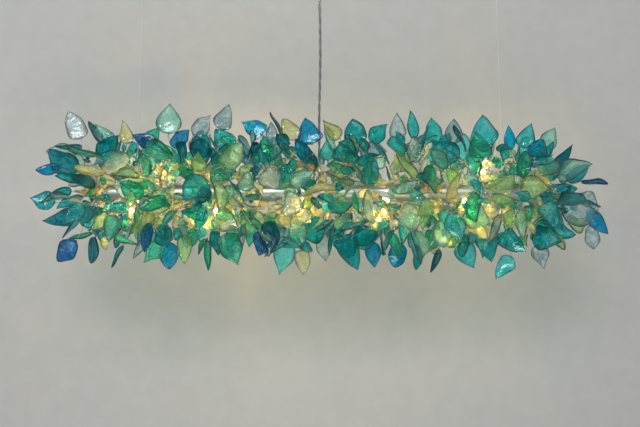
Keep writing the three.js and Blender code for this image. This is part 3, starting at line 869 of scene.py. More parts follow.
class Room:
    """Every box that is taken, with tests of a new one against all of them."""

    def __init__(self):
        self.centres, self.axes, self.halves, self.owners, self.wires = [], [], [], [], []

    def take(self, box, owner=-1, wire=True):
        self.centres.append(box[0])
        self.axes.append(box[1])
        self.halves.append(box[2])
        self.owners.append(owner)
        self.wires.append(wire)
        self.cache = None

    def ready(self):
        if self.cache is None:
            halves = np.array(self.halves)
            self.cache = (
                np.array(self.centres), np.array(self.axes), halves,
                np.sqrt((halves**2).sum(1)), np.array(self.owners), np.array(self.wires),
            )
        return self.cache

    def clear(self, box, skip_owner=None, skip_boxes=None):
        """Whether the box meets none of the taken ones, other than one stud's wires or some boxes."""
        centres, axes, halves, reach, owners, wires = self.ready()
        between = centres - box[0]
        near = (between**2).sum(1) < (reach + math.sqrt((box[2] ** 2).sum())) ** 2
        if skip_owner is not None:
            near &= ~((owners == skip_owner) & wires)
        if skip_boxes is not None:
            near[skip_boxes] = False
        near = np.nonzero(near)[0]
        if not len(near):
            return True
        between, other, size = between[near], axes[near], halves[near]
        own = box[1]
        crossed = np.cross(own[None, :, None, :], other[:, None, :, :]).reshape(len(near), 9, 3)
        long = np.sqrt((crossed**2).sum(2))
        usable = np.concatenate([np.ones((len(near), 6), bool), long**2 > 1e-6], 1)
        crossed = crossed / np.maximum(long, 1e-9)[:, :, None]
        tried = np.concatenate([np.broadcast_to(own, (len(near), 3, 3)), other, crossed], 1)
        spans = (np.abs(tried @ own.T) * box[2]).sum(2)
        spans += (np.abs(np.einsum("nkd,njd->nkj", tried, other)) * size[:, None, :]).sum(2)
        gaps = np.abs(np.einsum("nkd,nd->nk", tried, between))
        return bool(((gaps > spans) & usable).any(1).all())


def box_along(start, end, half):
    along = end - start
    length = length_of(along)
    along = unit(along)
    across = unit(cross(arr(0, 0, 1) if abs(along[2]) < 0.9 else arr(1, 0, 0), along))
    return ((start + end) * 0.5, np.array([along, across, cross(along, across)]), arr(length / 2, half, half))


room = Room()
for turn in (0, 45, 90, 135):
    room.take((axis_mm(0), np.array([arr(1, 0, 0), out_mm(turn), out_mm(turn + 90)]), arr(405, 17, 7)))
room.take(box_along(axis_mm(0), arr(0, 0, 0), 8))
for x, out in bulbs_mm:
    room.take(box_along(axis_mm(x) + out * 17, axis_mm(x) + out * 80, 8.5))
for foot, ball, up in cables_mm:
    room.take(box_along(foot, ball, 3))
for foot, ball, up in cables_mm:
    room.take(box_along(foot, foot + up * 50, 7))
for k, hub in enumerate(hubs):
    room.take(box_along(hub["at"], hub["top"] + hub["out"] * 5, 5), k)


# %% [markdown]
# ## Large leaves
#
# A leaf points away from the tube, give or take, and stands near the outside of a long rounded shell.
# Its wire goes to a near stud, not too crowded, that it can reach without bending back.

# %% Place the large leaves
def shell_at(x):
    return SHELL["radius"] * (1 - abs(x / SHELL["half"]) ** SHELL["power"]) ** (1 / SHELL["power"])


def proposed_leaf(stream):
    x = (2 * stream() - 1) * SHELL["half"]
    angle = 360 * stream()
    depth = stream()
    past = abs(x) > 400 + 20
    rho = shell_at(x) * (math.sqrt(depth) if past else 1 - (1 - SHELL["inner"]) * depth * depth)
    centre = axis_mm(x) + out_mm(angle) * rho
    nearest = axis_mm(max(-400, min(400, x)))
    along = unit(unit(centre - nearest) + stream.direction() * 0.85)
    across = unit(cross(stream.direction(), along))
    normal = cross(along, across)
    length = LEAF["shortest"] + (LEAF["longest"] - LEAF["shortest"]) * stream()
    width = length * (0.56 + 0.16 * stream())
    return {
        "centre": centre, "along": along, "across": across, "normal": normal, "length": length, "width": width
    }


def along_leaf(leaf, share):
    return leaf["centre"] + leaf["along"] * (leaf["length"] * (share - 0.5))


def hub_for(leaf, counts, most, farthest):
    base = along_leaf(leaf, 0)
    best, least = -1, float("inf")
    for k, hub in enumerate(hubs):
        wire = base - hub["top"]
        length = length_of(wire)
        wire = wire * (1 / length)
        is_open = wire @ hub["out"] > 0.1 and wire @ leaf["along"] > 0.5
        cost = length + 6 * counts[k]
        if is_open and cost < least and 12 < length < farthest and counts[k] < most:
            best, least = k, cost
    return best


def leaf_box(leaf):
    middle = leaf["centre"] + leaf["normal"] * (-(LEAF["cup"] + LEAF["thick"] / 2) / 2)
    half = arr(leaf["length"] / 2 + 1, leaf["width"] / 2 + 0.5, (LEAF["cup"] + LEAF["thick"] / 2) / 2 + 1)
    return (middle, np.array([leaf["along"], leaf["across"], leaf["normal"]]), half)


placed, counts = [], [0] * len(hubs)


def keep_if_clear(leaf):
    """Keeps a leaf if there is a stud for it, and neither it nor its wire touches anything."""
    leaf["hub"] = hub_for(leaf, counts, LEAF["most"], LEAF["farthest"])
    if leaf["hub"] < 0:
        return False
    blade = leaf_box(leaf)
    wire = box_along(hubs[leaf["hub"]]["top"], along_leaf(leaf, 0), 1.3)
    if not (room.clear(blade) and room.clear(wire, leaf["hub"])):
        return False
    room.take(blade, leaf["hub"], False)
    room.take(wire, leaf["hub"], True)
    leaf["boxes"] = [len(room.owners) - 2, len(room.owners) - 1]
    counts[leaf["hub"]] += 1
    placed.append(leaf)
    return True


# %% [markdown]
# ## Leaves set one by one
#
# Scattering alone makes an even hedge. What gives the cloud its outline is the single leaves that stand
# out past the rest, so those are set one by one: the place of the leaf's middle along the tube and
# above its axis, in millimetres, the way it points, its length and width, how far it is turned edge-on,
# and its glass. The first list stands round the edge, and the second in front of the tube.

# %% Set the outstanding leaves
EDGE_LEAVES = [
    (-456, 127, 108, 56, 32, 15, "smoke"), (-427, 117, 119, 46, 26, 72, "petrol"),
    (-407, 112, 130, 48, 28, 25, "mint"), (-372, 118, 95, 46, 27, 20, "straw"),
    (-286, 141, 87, 58, 40, 8, "mint"), (-329, 100, 152, 46, 27, 25, "blue"),
    (-262, 103, 48, 46, 26, 35, "blue"), (-222, 127, 37, 50, 29, 12, "smoke"),
    (-226, 93, 65, 52, 38, 10, "teal"), (-180, 102, 115, 50, 34, 20, "teal"),
    (-177, 142, 62, 51, 29, 15, "smoke"), (-502, 82, 186, 46, 27, 30, "mint"),
    (-475, 88, 172, 50, 26, 68, "petrol"), (-507, 42, 198, 46, 26, 30, "cyan"),
    (-126, 127, 140, 47, 34, 10, "cyan"), (-82, 131, 120, 47, 24, 78, "petrol"),
    (-89, 108, 105, 46, 28, 25, "smoke"), (-57, 122, 120, 48, 28, 15, "straw"),
    (-21, 116, 105, 52, 38, 8, "cyan"), (21, 117, 140, 46, 27, 30, "straw"),
    (66, 116, 108, 48, 42, 15, "teal"), (113, 118, 60, 47, 32, 30, "teal"),
    (148, 126, 98, 55, 28, 15, "smoke"), (177, 127, 90, 54, 26, 40, "teal"),
    (220, 121, 92, 50, 33, 20, "teal"), (255, 117, 90, 48, 30, 15, "smoke"),
    (304, 114, 108, 60, 46, 8, "aqua"), (363, 106, 97, 47, 27, 20, "cyan"),
    (389, 108, 86, 48, 32, 12, "aqua"), (444, 105, 60, 48, 32, 18, "mint"),
    (467, 69, 52, 54, 28, 35, "petrol"), (485, 34, 22, 50, 27, 25, "teal"),
    (528, 22, -2, 50, 26, 76, "blue"), (466, 2, 8, 66, 34, 25, "teal"),
    (523, -16, -55, 46, 26, 35, "smoke"), (528, -57, -62, 56, 27, 40, "cyan"),
    (513, -84, -85, 46, 24, 30, "smoke"), (469, -78, -22, 46, 26, 25, "teal"),
    (420, -122, -80, 48, 28, 20, "smoke"), (343, -139, 222, 52, 27, 20, "aqua"),
    (283, -120, -62, 54, 36, 15, "aqua"), (220, -130, -105, 46, 24, 74, "petrol"),
    (218, -94, -95, 48, 30, 25, "straw"), (357, -97, -52, 50, 26, 30, "emerald"),
    (-104, -95, -100, 50, 37, 10, "blue"), (-70, -127, -104, 62, 46, 8, "aqua"),
    (-30, -131, -76, 48, 28, 25, "straw"), (6, -104, -95, 56, 34, 15, "smoke"),
    (60, -117, -65, 66, 34, 12, "teal"), (102, -117, -80, 48, 32, 15, "cyan"),
    (149, -119, -112, 48, 34, 20, "cyan"), (187, -122, -88, 48, 24, 62, "teal"),
    (-164, -106, -64, 64, 42, 12, "emerald"), (-529, -12, 160, 46, 33, 15, "teal"),
    (-492, -51, 198, 62, 30, 25, "petrol"), (-462, -82, 190, 48, 24, 70, "emerald"),
    (-480, -109, 222, 52, 34, 18, "blue"), (-424, -108, -88, 50, 30, 45, "petrol"),
    (-390, -120, 236, 46, 24, 66, "teal"), (-340, -104, -125, 48, 28, 35, "smoke"),
    (-312, -112, -132, 50, 32, 20, "emerald"), (-286, -119, -80, 52, 34, 15, "cyan"),
    (-256, -106, -100, 54, 28, 20, "lime"), (-215, -120, -88, 58, 28, 60, "emerald"),
    (-201, -96, -84, 48, 28, 35, "petrol"),
]
FRONT_LEAVES = [
    (-296, -22, 200, 54, 27, 35, "emerald"), (-215, 30, 82, 48, 26, 35, "emerald"),
    (-172, -36, -100, 52, 27, 30, "emerald"), (-150, 62, 42, 54, 34, 25, "lime"),
    (-60, -58, -80, 50, 32, 25, "teal"), (-30, 26, 30, 48, 28, 20, "mint"),
    (28, -30, -70, 48, 28, 25, "petrol"), (95, 36, 60, 50, 30, 15, "teal"),
    (120, -52, -100, 52, 28, 30, "emerald"), (205, 58, 100, 48, 30, 20, "aqua"),
    (240, -62, -75, 50, 30, 15, "aqua"), (265, -30, 255, 50, 25, 60, "teal"),
    (372, 50, 70, 48, 28, 25, "emerald"), (415, -42, -60, 50, 30, 20, "teal"),
    (-400, 40, 120, 56, 38, 10, "teal"), (-440, -40, 215, 50, 30, 25, "aqua"),
    (-372, -66, -100, 48, 30, 20, "emerald"),
]


def leaf_by_hand(row, depth):
    x, z, points, length, width, turn = row[:6]
    p, t = points * (math.pi / 180), turn * (math.pi / 180)
    centre = arr(x, depth, -DROP + z)
    along = arr(math.cos(p), 0, math.sin(p))
    front = arr(0, -1, 0)
    normal = front * math.cos(t) + cross(along, front) * math.sin(t)
    across = cross(normal, along)
    return {
        "centre": centre, "along": along, "across": across, "normal": normal,
        "length": length, "width": width, "glass": row[6],
    }


for k, row in enumerate(EDGE_LEAVES):
    start = ((k * 37) % 60) - 30
    step = -9 if start > 0 else 9
    any(keep_if_clear(leaf_by_hand(row, start + step * n)) for n in range(13))
for row in FRONT_LEAVES:
    any(keep_if_clear(leaf_by_hand(row, -118 + 5 * n)) for n in range(13))
print("leaves set by hand:", len(placed))

# %% [markdown]
# ## The rest of the leaves
#
# The space that the listed leaves leave free is filled from the random stream, until the cloud has
# as many leaves as the solid model.

# %% Scatter the rest
layout = Stream(20)
tries = 0
while tries < 60000 and len(placed) < LEAF["count"]:
    tries += 1
    keep_if_clear(proposed_leaf(layout))
leaves = list(placed)
print("tries:", tries, "leaves:", len(leaves), "last at", leaves[-1]["centre"].round(3))

# %% [markdown]
# ## Coloured glass
#
# The leaves are cut from rods of many colours, from petrol blue to almost clear. Real coloured glass is
# clear all through and takes its colour from what passes it, so the shader is transmissive, with a
# tint. One node group mixes the tints: streaks where the colour lies thicker, a darker rim, and seeds,
# the tiny bubbles that hand-worked glass always holds. The rim's darkness is partly the deeper colour
# of the thicker rolled edge, and partly painted shade where the eye looks along the sheet, standing in
# for the dark outline that refraction draws there. The mesh carries two values for it: *rim*, which
# rises towards a leaf's edge, and *tone*, one value for each leaf, so that no two pieces cut from the
# same rod match exactly.

# %% The glass node group
def build_worked_glass():
    group, given, put = new_group(
        "worked_glass",
        [
            ("Light tint", "NodeSocketColor", (0.5, 0.9, 0.8, 1)),
            ("Deep tint", "NodeSocketColor", (0.1, 0.5, 0.5, 1)),
            ("Rim and painted shade depth", "NodeSocketFloat", 0.9),
            ("Rim shade", "NodeSocketFloat", 0.2),
            ("Edge-on painted shade", "NodeSocketFloat", 0.0),
            ("Streaks", "NodeSocketFloat", 85.0),
            ("Ripples", "NodeSocketFloat", 150.0),
            ("Seeds", "NodeSocketFloat", 170.0),
        ],
        [("Colour", "NodeSocketColor"), ("Roughness", "NodeSocketFloat"), ("Height", "NodeSocketFloat")],
    )
    place = node(group, "ShaderNodeTexCoord").outputs["Object"]
    rim = node(group, "ShaderNodeAttribute", attribute_name="rim").outputs["Fac"]
    tone = node(group, "ShaderNodeAttribute", attribute_name="tone").outputs["Fac"]
    streaks = node(
        group, "ShaderNodeTexNoise", [
            ("Vector", place), ("Scale", given.outputs["Streaks"]), ("Detail", 2.0), ("Distortion", 1.2)
        ]
    )
    thick = node(
        group, "ShaderNodeMath", [(0, spread(group, streaks.outputs[0], 0.38, 0.62)), (1, tone)],
        operation="ADD",
    )
    share = spread(group, thick.outputs[0], 0.35, 1.45)
    body = mix_colours(group, share, given.outputs["Light tint"], given.outputs["Deep tint"])
    # Towards the rim, and wherever the sheet is seen edge-on, the colour turns towards near-black teal. The
    # rim part is the deeper colour of the thicker rolled edge; the edge-on part is painted shade standing in
    # for the dark outline that refraction draws.
    darkened = mix_colours(
        group, given.outputs["Rim shade"], (0.0, 0.012, 0.016, 1), given.outputs["Deep tint"]
    )
    slanted = spread(group, given.outputs["Edge-on painted shade"], 0.4, 0.95, 0.0, 0.8)
    outer = node(group, "ShaderNodeMath", [(0, rim), (1, slanted)], operation="MAXIMUM")
    edge = node(
        group, "ShaderNodeMath", [(0, outer.outputs[0]), (1, given.outputs["Rim and painted shade depth"])],
        operation="MULTIPLY",
    )
    shaded = mix_colours(group, edge.outputs[0], body, darkened)
    seeds = node(group, "ShaderNodeTexVoronoi", [("Vector", place), ("Scale", given.outputs["Seeds"])])
    bubble = spread(group, seeds.outputs["Distance"], 0.1, 0.2, 1.0, 0.0)
    faint = node(group, "ShaderNodeMath", [(0, bubble), (1, 0.45)], operation="MULTIPLY")
    colour = mix_colours(group, faint.outputs[0], shaded, (0.95, 1.0, 0.97, 1))
    ripples = node(
        group, "ShaderNodeTexNoise", [("Vector", place), ("Scale", given.outputs["Ripples"]), ("Detail", 2.5)]
    )
    height = node(
        group, "ShaderNodeMath", [(0, bubble), (1, 0.5), (2, ripples.outputs[0])], operation="MULTIPLY_ADD"
    )
    group.links.new(colour, put.inputs["Colour"])
    group.links.new(spread(group, ripples.outputs[0], 0.3, 0.7, 0.01, 0.06), put.inputs["Roughness"])
    group.links.new(height.outputs[0], put.inputs["Height"])
    return group


WORKED_GLASS = build_worked_glass()


def glass_material(name, light, deep, rim_and_painted_shade_depth=0.9, relief=1.0, transmission=0.94):
    made, tree, shader, out = new_material(name)
    glass = placed_group(tree, WORKED_GLASS)
    glass.inputs["Light tint"].default_value = (*light, 1)
    glass.inputs["Deep tint"].default_value = (*deep, 1)
    glass.inputs["Rim and painted shade depth"].default_value = rim_and_painted_shade_depth
    # Painted shade: the Facing value darkens the glass colour where the sheet is seen edge-on.
    slant = node(tree, "ShaderNodeLayerWeight", [("Blend", 0.4)])
    tree.links.new(slant.outputs["Facing"], glass.inputs["Edge-on painted shade"])
    tree.links.new(glass.outputs["Colour"], shader.inputs["Base Color"])
    tree.links.new(glass.outputs["Roughness"], shader.inputs["Roughness"])
    shader.inputs["Transmission Weight"].default_value = transmission
    shader.inputs["IOR"].default_value = 1.46
    bump(tree, shader, glass.outputs["Height"], relief, 0.001)
    shade = (sum(light) + sum(deep)) / 6
    shadow = tuple(0.58 + 0.13 * (a + b) / 2 + 0.14 * shade for a, b in zip(light, deep))
    let_light_past(tree, shader, out, (*shadow, 1))
    return made


GLASS = {
    "teal": glass_material("glass_teal", (0.06, 0.72, 0.72), (0.004, 0.4, 0.46)),
    "petrol": glass_material("glass_petrol", (0.03, 0.47, 0.55), (0.003, 0.2, 0.27)),
    "aqua": glass_material("glass_aqua", (0.2, 0.88, 0.86), (0.04, 0.62, 0.68)),
    "cyan": glass_material("glass_cyan", (0.01, 0.6, 0.9), (0.002, 0.32, 0.62)),
    "blue": glass_material("glass_blue", (0.05, 0.38, 0.74), (0.008, 0.15, 0.46)),
    "emerald": glass_material("glass_emerald", (0.14, 0.8, 0.58), (0.02, 0.54, 0.37)),
    "mint": glass_material("glass_mint", (0.62, 0.95, 0.85), (0.3, 0.77, 0.65)),
    "lime": glass_material("glass_lime", (0.78, 0.96, 0.62), (0.5, 0.82, 0.36), transmission=0.92),
    "smoke": glass_material("glass_smoke", (0.76, 0.9, 0.93), (0.36, 0.56, 0.63), transmission=0.97),
    "straw": glass_material("glass_straw", (0.9, 0.92, 0.66), (0.68, 0.72, 0.32)),
    "honey": glass_material("glass_honey", (0.98, 0.95, 0.62), (0.88, 0.82, 0.36), transmission=0.82),
    "crystal": glass_material("glass_crystal", (0.95, 0.99, 0.9), (0.74, 0.88, 0.72), transmission=0.9),
    "amber": glass_material("glass_amber", (1.0, 0.8, 0.4), (0.9, 0.58, 0.18), transmission=0.86),
}
print("kinds of glass:", len(GLASS))

# %% [markdown]
# ## One glass leaf
#
# A maker pulls a gather of hot glass flat with pincers, and its edges round off and thicken as it cools,
# so each leaf has a thin, slightly cupped blade, a thick rolled rim and a tail where the pincers let
# go. Here one leaf is a grid of points bent from flat: a teardrop outline, a cup across it, a twist and
# a curl along it. The rim is geometry, a bead round the edge, because it is the bead that bends light
# into the dark line that outlines each leaf.

# %% Build a leaf's points and faces
WIDE_ACROSS = (-1.0, -0.94, -0.84, -0.6, -0.3, 0.0, 0.3, 0.6, 0.84, 0.94, 1.0)
FEW_ACROSS = (-1.0, -0.86, -0.4, 0.4, 0.86, 1.0)


def outline_at(u, base, tip):
    """Half a leaf's width at a share of its length, where 1 is its widest."""
    peak = (base / (base + tip)) ** base * (tip / (base + tip)) ** tip
    return max(0.035, (u**base) * ((1 - u) ** tip) / peak)


class Mesh:
    """Points, faces and the values they carry, gathered until they become one mesh."""

    def __init__(self):
        self.points, self.faces, self.kinds, self.rim, self.tone = [], [], [], [], []

    def ring(self, places, rims, tone):
        start = len(self.points)
        self.points += places
        self.rim += rims
        self.tone += [tone] * len(places)
        return list(range(start, start + len(places)))

    def bridge(self, low, high, kind):
        for k in range(len(low)):
            n = (k + 1) % len(low)
            self.faces.append((low[k], low[n], high[n], high[k]))
            self.kinds.append(kind)

    def cap(self, ring, kind, flip=False):
        self.faces.append(tuple(reversed(ring)) if flip else tuple(ring))
        self.kinds.append(kind)

    def tube(self, rings, kind):
        """Joins rings in turn and closes both ends."""
        for low, high in zip(rings, rings[1:]):
            self.bridge(low, high, kind)
        self.cap(rings[0], kind, True)
        self.cap(rings[-1], kind)

    def finish(self, name, materials):
        mesh = mesh_from(name, self.points, self.faces, self.kinds)
        for title, values in (("rim", self.rim), ("tone", self.tone)):
            mesh.attributes.new(title, "FLOAT", "POINT").data.foreach_set("value", values)
        for material in materials:
            mesh.materials.append(material)
        return mesh


def blade_row(leaf, look, u, across):
    """One ring of points round a blade, at a share of its length, and how near the rim each is."""
    side, up, length, half = leaf["across"], leaf["normal"], leaf["length"], leaf["width"] / 2
    wide = half * outline_at(min(0.999, max(0.001, u)), look["base"], look["tip"])
    wide *= 1 + look["wobble"] * math.sin(9 * u + look["phase"])
    twist = look["twist"] * (u - 0.45)
    sweep = look["hook"] * length * u**3
    lift = look["curl"] * u**2.2 + look["wave"] * math.sin(math.pi * 2 * u + look["phase"])
    cup = look["cup"] * math.sin(math.pi * min(1.0, u * 1.05)) ** 0.7
    fade = min(1.0, wide / (0.3 * half))
    sheet = look["sheet"] * (0.45 + 0.55 * fade)
    bead = look["bead"] * (0.5 + 0.5 * fade)
    spine = leaf["centre"] + leaf["along"] * (length * (u - 0.5))
    top, low = [], []
    for v in across:
        y = v * wide
        z = -cup * (1 - v * v) + look["frill"] * abs(v) ** 3 * math.sin(7 * u + 3 * v + look["phase"])
        y, z = y * math.cos(twist) - z * math.sin(twist), y * math.sin(twist) + z * math.cos(twist)
        is_edge = abs(v) > 0.99
        thick = 0.0 if is_edge else sheet + (bead - sheet) * max(0.0, (abs(v) - 0.6) / 0.34)
        place = spine + side * (y + sweep) + up * (z + lift)
        top.append(place + up * thick)
        if not is_edge:
            low.append(place - up * thick)
    ends = max(0.0, 1 - 14 * u, 1 - 9 * (1 - u))
    near = [max(ends, min(1.0, max(0.0, (abs(v) - 0.78) / 0.14))) for v in across]
    return [p * MM for p in top + low[::-1]], near + near[1:-1][::-1]


def add_blade(to, leaf, look, kind, rows=12, across=WIDE_ACROSS):
    """A closed glass blade on the leaf's own axes: a ring of points for each step along it."""
    rings = []
    for k in range(rows + 1):
        places, near = blade_row(leaf, look, 0.5 - 0.5 * math.cos(math.pi * k / rows), across)
        rings.append(to.ring(places[::-1], near[::-1], look["tone"]))
    to.tube(rings, kind)


def round_ring(to, at, way, radius, sides, tone):
    side = unit(cross(arr(0, 0, 1) if abs(way[2]) < 0.9 else arr(1, 0, 0), way))
    up = cross(way, side)
    turns = (2 * math.pi * n / sides for n in range(sides))
    places = [(at + (side * math.cos(a) + up * math.sin(a)) * radius) * MM for a in turns]
    return to.ring(places, [0.0] * sides, tone)


def add_rod(to, line, radii, kind, sides=6, tone=0.5):
    """A round rod along a line of points, with a radius for each, closed at both ends."""
    rings = []
    for k, (p, r) in enumerate(zip(line, radii)):
        way = unit(line[min(k + 1, len(line) - 1)] - line[max(k - 1, 0)])
        rings.append(round_ring(to, p, way, r, sides, tone))
    to.tube(rings, kind)


def add_turned(to, profile, at, way, kind, sides=20, tone=0.5):
    """A small turned piece inside a larger mesh, from its radii and heights."""
    to.tube([round_ring(to, at + way * h, way, r, sides, tone) for r, h in profile], kind)


# %% [markdown]
# ## Shape, glass and wire of each leaf
#
# Before any leaf is built, each gets its own bend, its glass and the line of its wire, because the
# small pieces that come next branch off those wires. It is also spread wider where there is room. A
# wire springs from the stud's round head and bows a little on its way out.

# %% Give each leaf its shape, glass and wire
shapes = Stream(77)
LEAF_SHARES = {
    "teal": 28, "petrol": 12, "aqua": 20, "cyan": 7, "blue": 6,
    "emerald": 11, "mint": 7, "lime": 3, "smoke": 4, "straw": 2,
}
CORE_SHARES = {"honey": 36, "crystal": 14, "amber": 4, "lime": 18, "mint": 12, "emerald": 8, "aqua": 8}
MIDDLE_SHARES = {
    "honey": 17, "crystal": 18, "straw": 12, "lime": 17, "mint": 13,
    "emerald": 9, "aqua": 7, "teal": 5, "petrol": 2,
}
PALE_SHARES = {"smoke": 16, "mint": 24, "crystal": 8, "aqua": 26, "teal": 16, "lime": 10}
OUTER_SHARES = {"emerald": 18, "mint": 8, "lime": 9, "honey": 6, "aqua": 24, "teal": 30, "petrol": 6}


def leaf_look(bend=1.0):
    """The bend and thickness of one leaf, each a little different."""
    s = shapes
    return {
        "base": 0.34 + 0.26 * s(),
        "tip": 0.68 + 0.55 * s(),
        "wobble": 0.14 * s(),
        "twist": (s() - 0.5) * 1.5 * bend,
        "hook": (s() - 0.5) * 0.44,
        "curl": (s() - 0.5) * 14 * bend,
        "wave": (s() - 0.5) * 3.5 * bend,
        "phase": s() * 6.28,
        "cup": 1.5 + 6.5 * s() * s(),
        "frill": (s() - 0.3) * 4.6 * bend,
        "sheet": 0.6 + 0.4 * s(),
        "bead": 1.35 + 0.55 * s(),
        "tone": s(),
    }


def pick(shares, share):
    """A name from a table of shares."""
    total = sum(shares.values())
    for name, weight in shares.items():
        share -= weight / total
        if share < 0:
            return name
    return name


def wire_line(top, base, bow, start):
    """A bowed line between two points."""
    begin = top + unit(base - top) * start
    side = unit(cross(unit(base - top), arr(0.3, 0.5, 0.8)))
    return [
        begin + (base - begin) * t + side * (bow * math.sin(math.pi * t)) for t in (
            0, 0.2, 0.4, 0.6, 0.8, 1.0
        )
    ]


def wire_point(leaf, share):
    place = share * (len(leaf["line"]) - 1)
    k = min(int(place), len(leaf["line"]) - 2)
    return leaf["line"][k] + (leaf["line"][k + 1] - leaf["line"][k]) * (place - k)


def wire_seat(leaf):
    """Where the wire enters a leaf, a little way in from its base."""
    look = leaf["look"]
    rise = look["curl"] * 0.06**2.2 + look["wave"] * math.sin(math.pi * 0.12 + look["phase"])
    return along_leaf(leaf, 0.06) + leaf["normal"] * (rise - look["cup"] * 0.25)


def widen(leaf):
    """Spreads a leaf wherever the space round it allows, as the broadest leaves do."""
    for wider in (1.24, 1.12) if "glass" in leaf else (1.4, 1.28, 1.14):
        centre, axes, half = leaf_box(leaf)
        if room.clear((centre, axes, half * arr(1, wider, 1)), skip_boxes=leaf["boxes"]):
            leaf["width"] *= wider
            room.halves[leaf["boxes"][0]] = half * arr(1, wider, 1)
            room.cache = None
            return


def shares_at(centre):
    """Which glasses are likely at a place: yellow and clear round the tube, pale at the lower right."""
    if abs(centre[0]) < 430 and abs(centre[2] + DROP) < 62:
        return MIDDLE_SHARES
    return PALE_SHARES if centre[0] > 180 and centre[2] < -DROP - 35 else LEAF_SHARES


for leaf in leaves:
    widen(leaf)
    leaf["look"] = leaf_look(0.45 if "glass" in leaf else 1.0)
    leaf["glass"] = leaf.get("glass") or pick(shares_at(leaf["centre"]), shapes())
    leaf["line"] = wire_line(
        hubs[leaf["hub"]]["top"], wire_seat(leaf), (shapes() - 0.5) * 2, HUB["head"] - 0.8
    )
print("leaves dressed:", len(leaves))

# %% [markdown]
# ## Flowers and small leaves
#
# Between the large leaves, and thickest round the tube, the maker twisted in small glass flowers and
# leaflets, yellow, clear and green, which catch the light of the bulbs. Each stands on a twig that
# branches off a leaf's wire. They are scattered like the leaves, but tested with boxes a little smaller
# than they are, so that they crowd as real ones do and a few may touch. They stay out of the space that
# the bulbs are drawn through.

# %% Scatter the flowers and small leaves
small = Stream(5)
SMALL = {"tries": 15000, "flowers": 320, "leaflets": 420}
FRONT = arr(0, -1, 0)


def from_axis(at):
    """How far a point is from the tube, along its nearest line to it."""
    beside = max(0.0, abs(at[0]) - 400)
    return math.sqrt(at[1] ** 2 + (at[2] + DROP) ** 2 + beside**2)


def proposed_flower(stream):
    parent = leaves[int(stream() * len(leaves))]
    root = wire_point(parent, 0.1 + 0.85 * stream())
    way = unit(stream.direction() + parent["along"] * 0.4)
    radius = 8 + 4.5 * stream()
    centre = root + way * (3 + 12 * stream())
    normal = unit(way + stream.direction() * 0.5)
    side = unit(cross(stream.direction(), normal))
    return {
        "flower": True, "parent": parent, "root": root, "centre": centre,
        "along": side, "across": cross(normal, side), "normal": normal, "radius": radius,
        "box": (
            centre + normal * (0.3 * radius), np.array([side, cross(normal, side), normal]),
            arr(0.86, 0.86, 0.42) * radius,
        ),
    }


def proposed_leaflet(stream):
    parent = leaves[int(stream() * len(leaves))]
    root = wire_point(parent, 0.25 + 0.7 * stream())
    way = unit(stream.direction() + parent["along"] * 0.7)
    length = 28 + 24 * stream() * stream()
    centre = root + way * (4 + 12 * stream() + length / 2)
    facing = unit(stream.direction() + FRONT * (1.0 if stream() < 0.5 else -1.0))
    across = unit(cross(facing, way))
    normal = cross(way, across)
    width = length * (0.66 + 0.2 * stream())
    return {
        "flower": False, "parent": parent, "root": root, "centre": centre,
        "along": way, "across": across, "normal": normal, "length": length, "width": width,
        "box": (centre - normal * 1.5, np.array([way, across, normal]), arr(length * 0.43, width * 0.4, 2.6)),
    }


def add_if_clear(bit):
    """Keeps a small piece if it and its twig touch nothing."""
    if not room.clear(bit["box"]):
        return False
    start = bit["centre"] if bit["flower"] else along_leaf(bit, 0.0)
    if not room.clear(box_along(bit["root"], start, 0.6), skip_boxes=bit["parent"]["boxes"][1]):
        return False
    room.take(bit["box"], bit["parent"]["hub"], False)
    return True


flowers, leaflets = [], []
for _ in range(SMALL["tries"]):
    if len(flowers) < SMALL["flowers"]:
        bit = proposed_flower(small)
        far = from_axis(bit["centre"])
        if small() < (1.0 if far < 62 else 0.25) and far < 100 and add_if_clear(bit):
            flowers.append(bit)
    if len(leaflets) < SMALL["leaflets"]:
        bit = proposed_leaflet(small)
        if from_axis(bit["centre"]) < shell_at(min(480, abs(bit["centre"][0]))) and add_if_clear(bit):
            leaflets.append(bit)
for bit in flowers + leaflets:
    shares = CORE_SHARES if from_axis(bit["centre"]) < 62 else OUTER_SHARES
    bit["glass"] = pick(shares, shapes())
    bit["look"] = leaf_look(0.7)
print("flowers:", len(flowers), "leaflets:", len(leaflets))

# %% [markdown]
# ## The sprays
#
# Each stud on the tube carries its leaves, flowers and twigs. A wire ends in a drop of its leaf's own
# glass melted round it. A spray is one mesh with a material for each glass, because its parts never
# move against each other.

# %% Build the sprays
SPRAY_MATERIALS = [LEAF_WIRE, TURNED_STEEL, *GLASS.values()]
KIND_OF = {name: k + 2 for k, name in enumerate(GLASS)}


def add_drop(to, line, size, kind, tone):
    """The bead of glass melted round the end of a wire."""
    drop = [line[-1] + (line[-2] - line[-1]) * t for t in (0.28, 0.2, 0.1, 0.0)]
    add_rod(to, drop, [0.8 * size, 1.3 * size, 1.7 * size, 1.2 * size], kind, 8, tone)


def add_leaf(to, leaf):
    kind, tone = KIND_OF[leaf["glass"]], leaf["look"]["tone"]
    add_blade(to, leaf, leaf["look"], kind)
    add_rod(to, leaf["line"], [0.65] * len(leaf["line"]), 0, 6)
    add_drop(to, leaf["line"], 1.0, kind, tone)


def add_leaflet(to, bit):
    kind, look = KIND_OF[bit["glass"]], bit["look"]
    look["cup"] *= 0.5
    look["curl"] *= 0.5
    add_blade(to, bit, look, kind, 9, WIDE_ACROSS[::2])
    line = wire_line(bit["root"], wire_seat(bit), 0.6, 0.0)
    add_rod(to, line, [0.5] * len(line), 0, 5)
    add_drop(to, line, 0.8, kind, look["tone"])


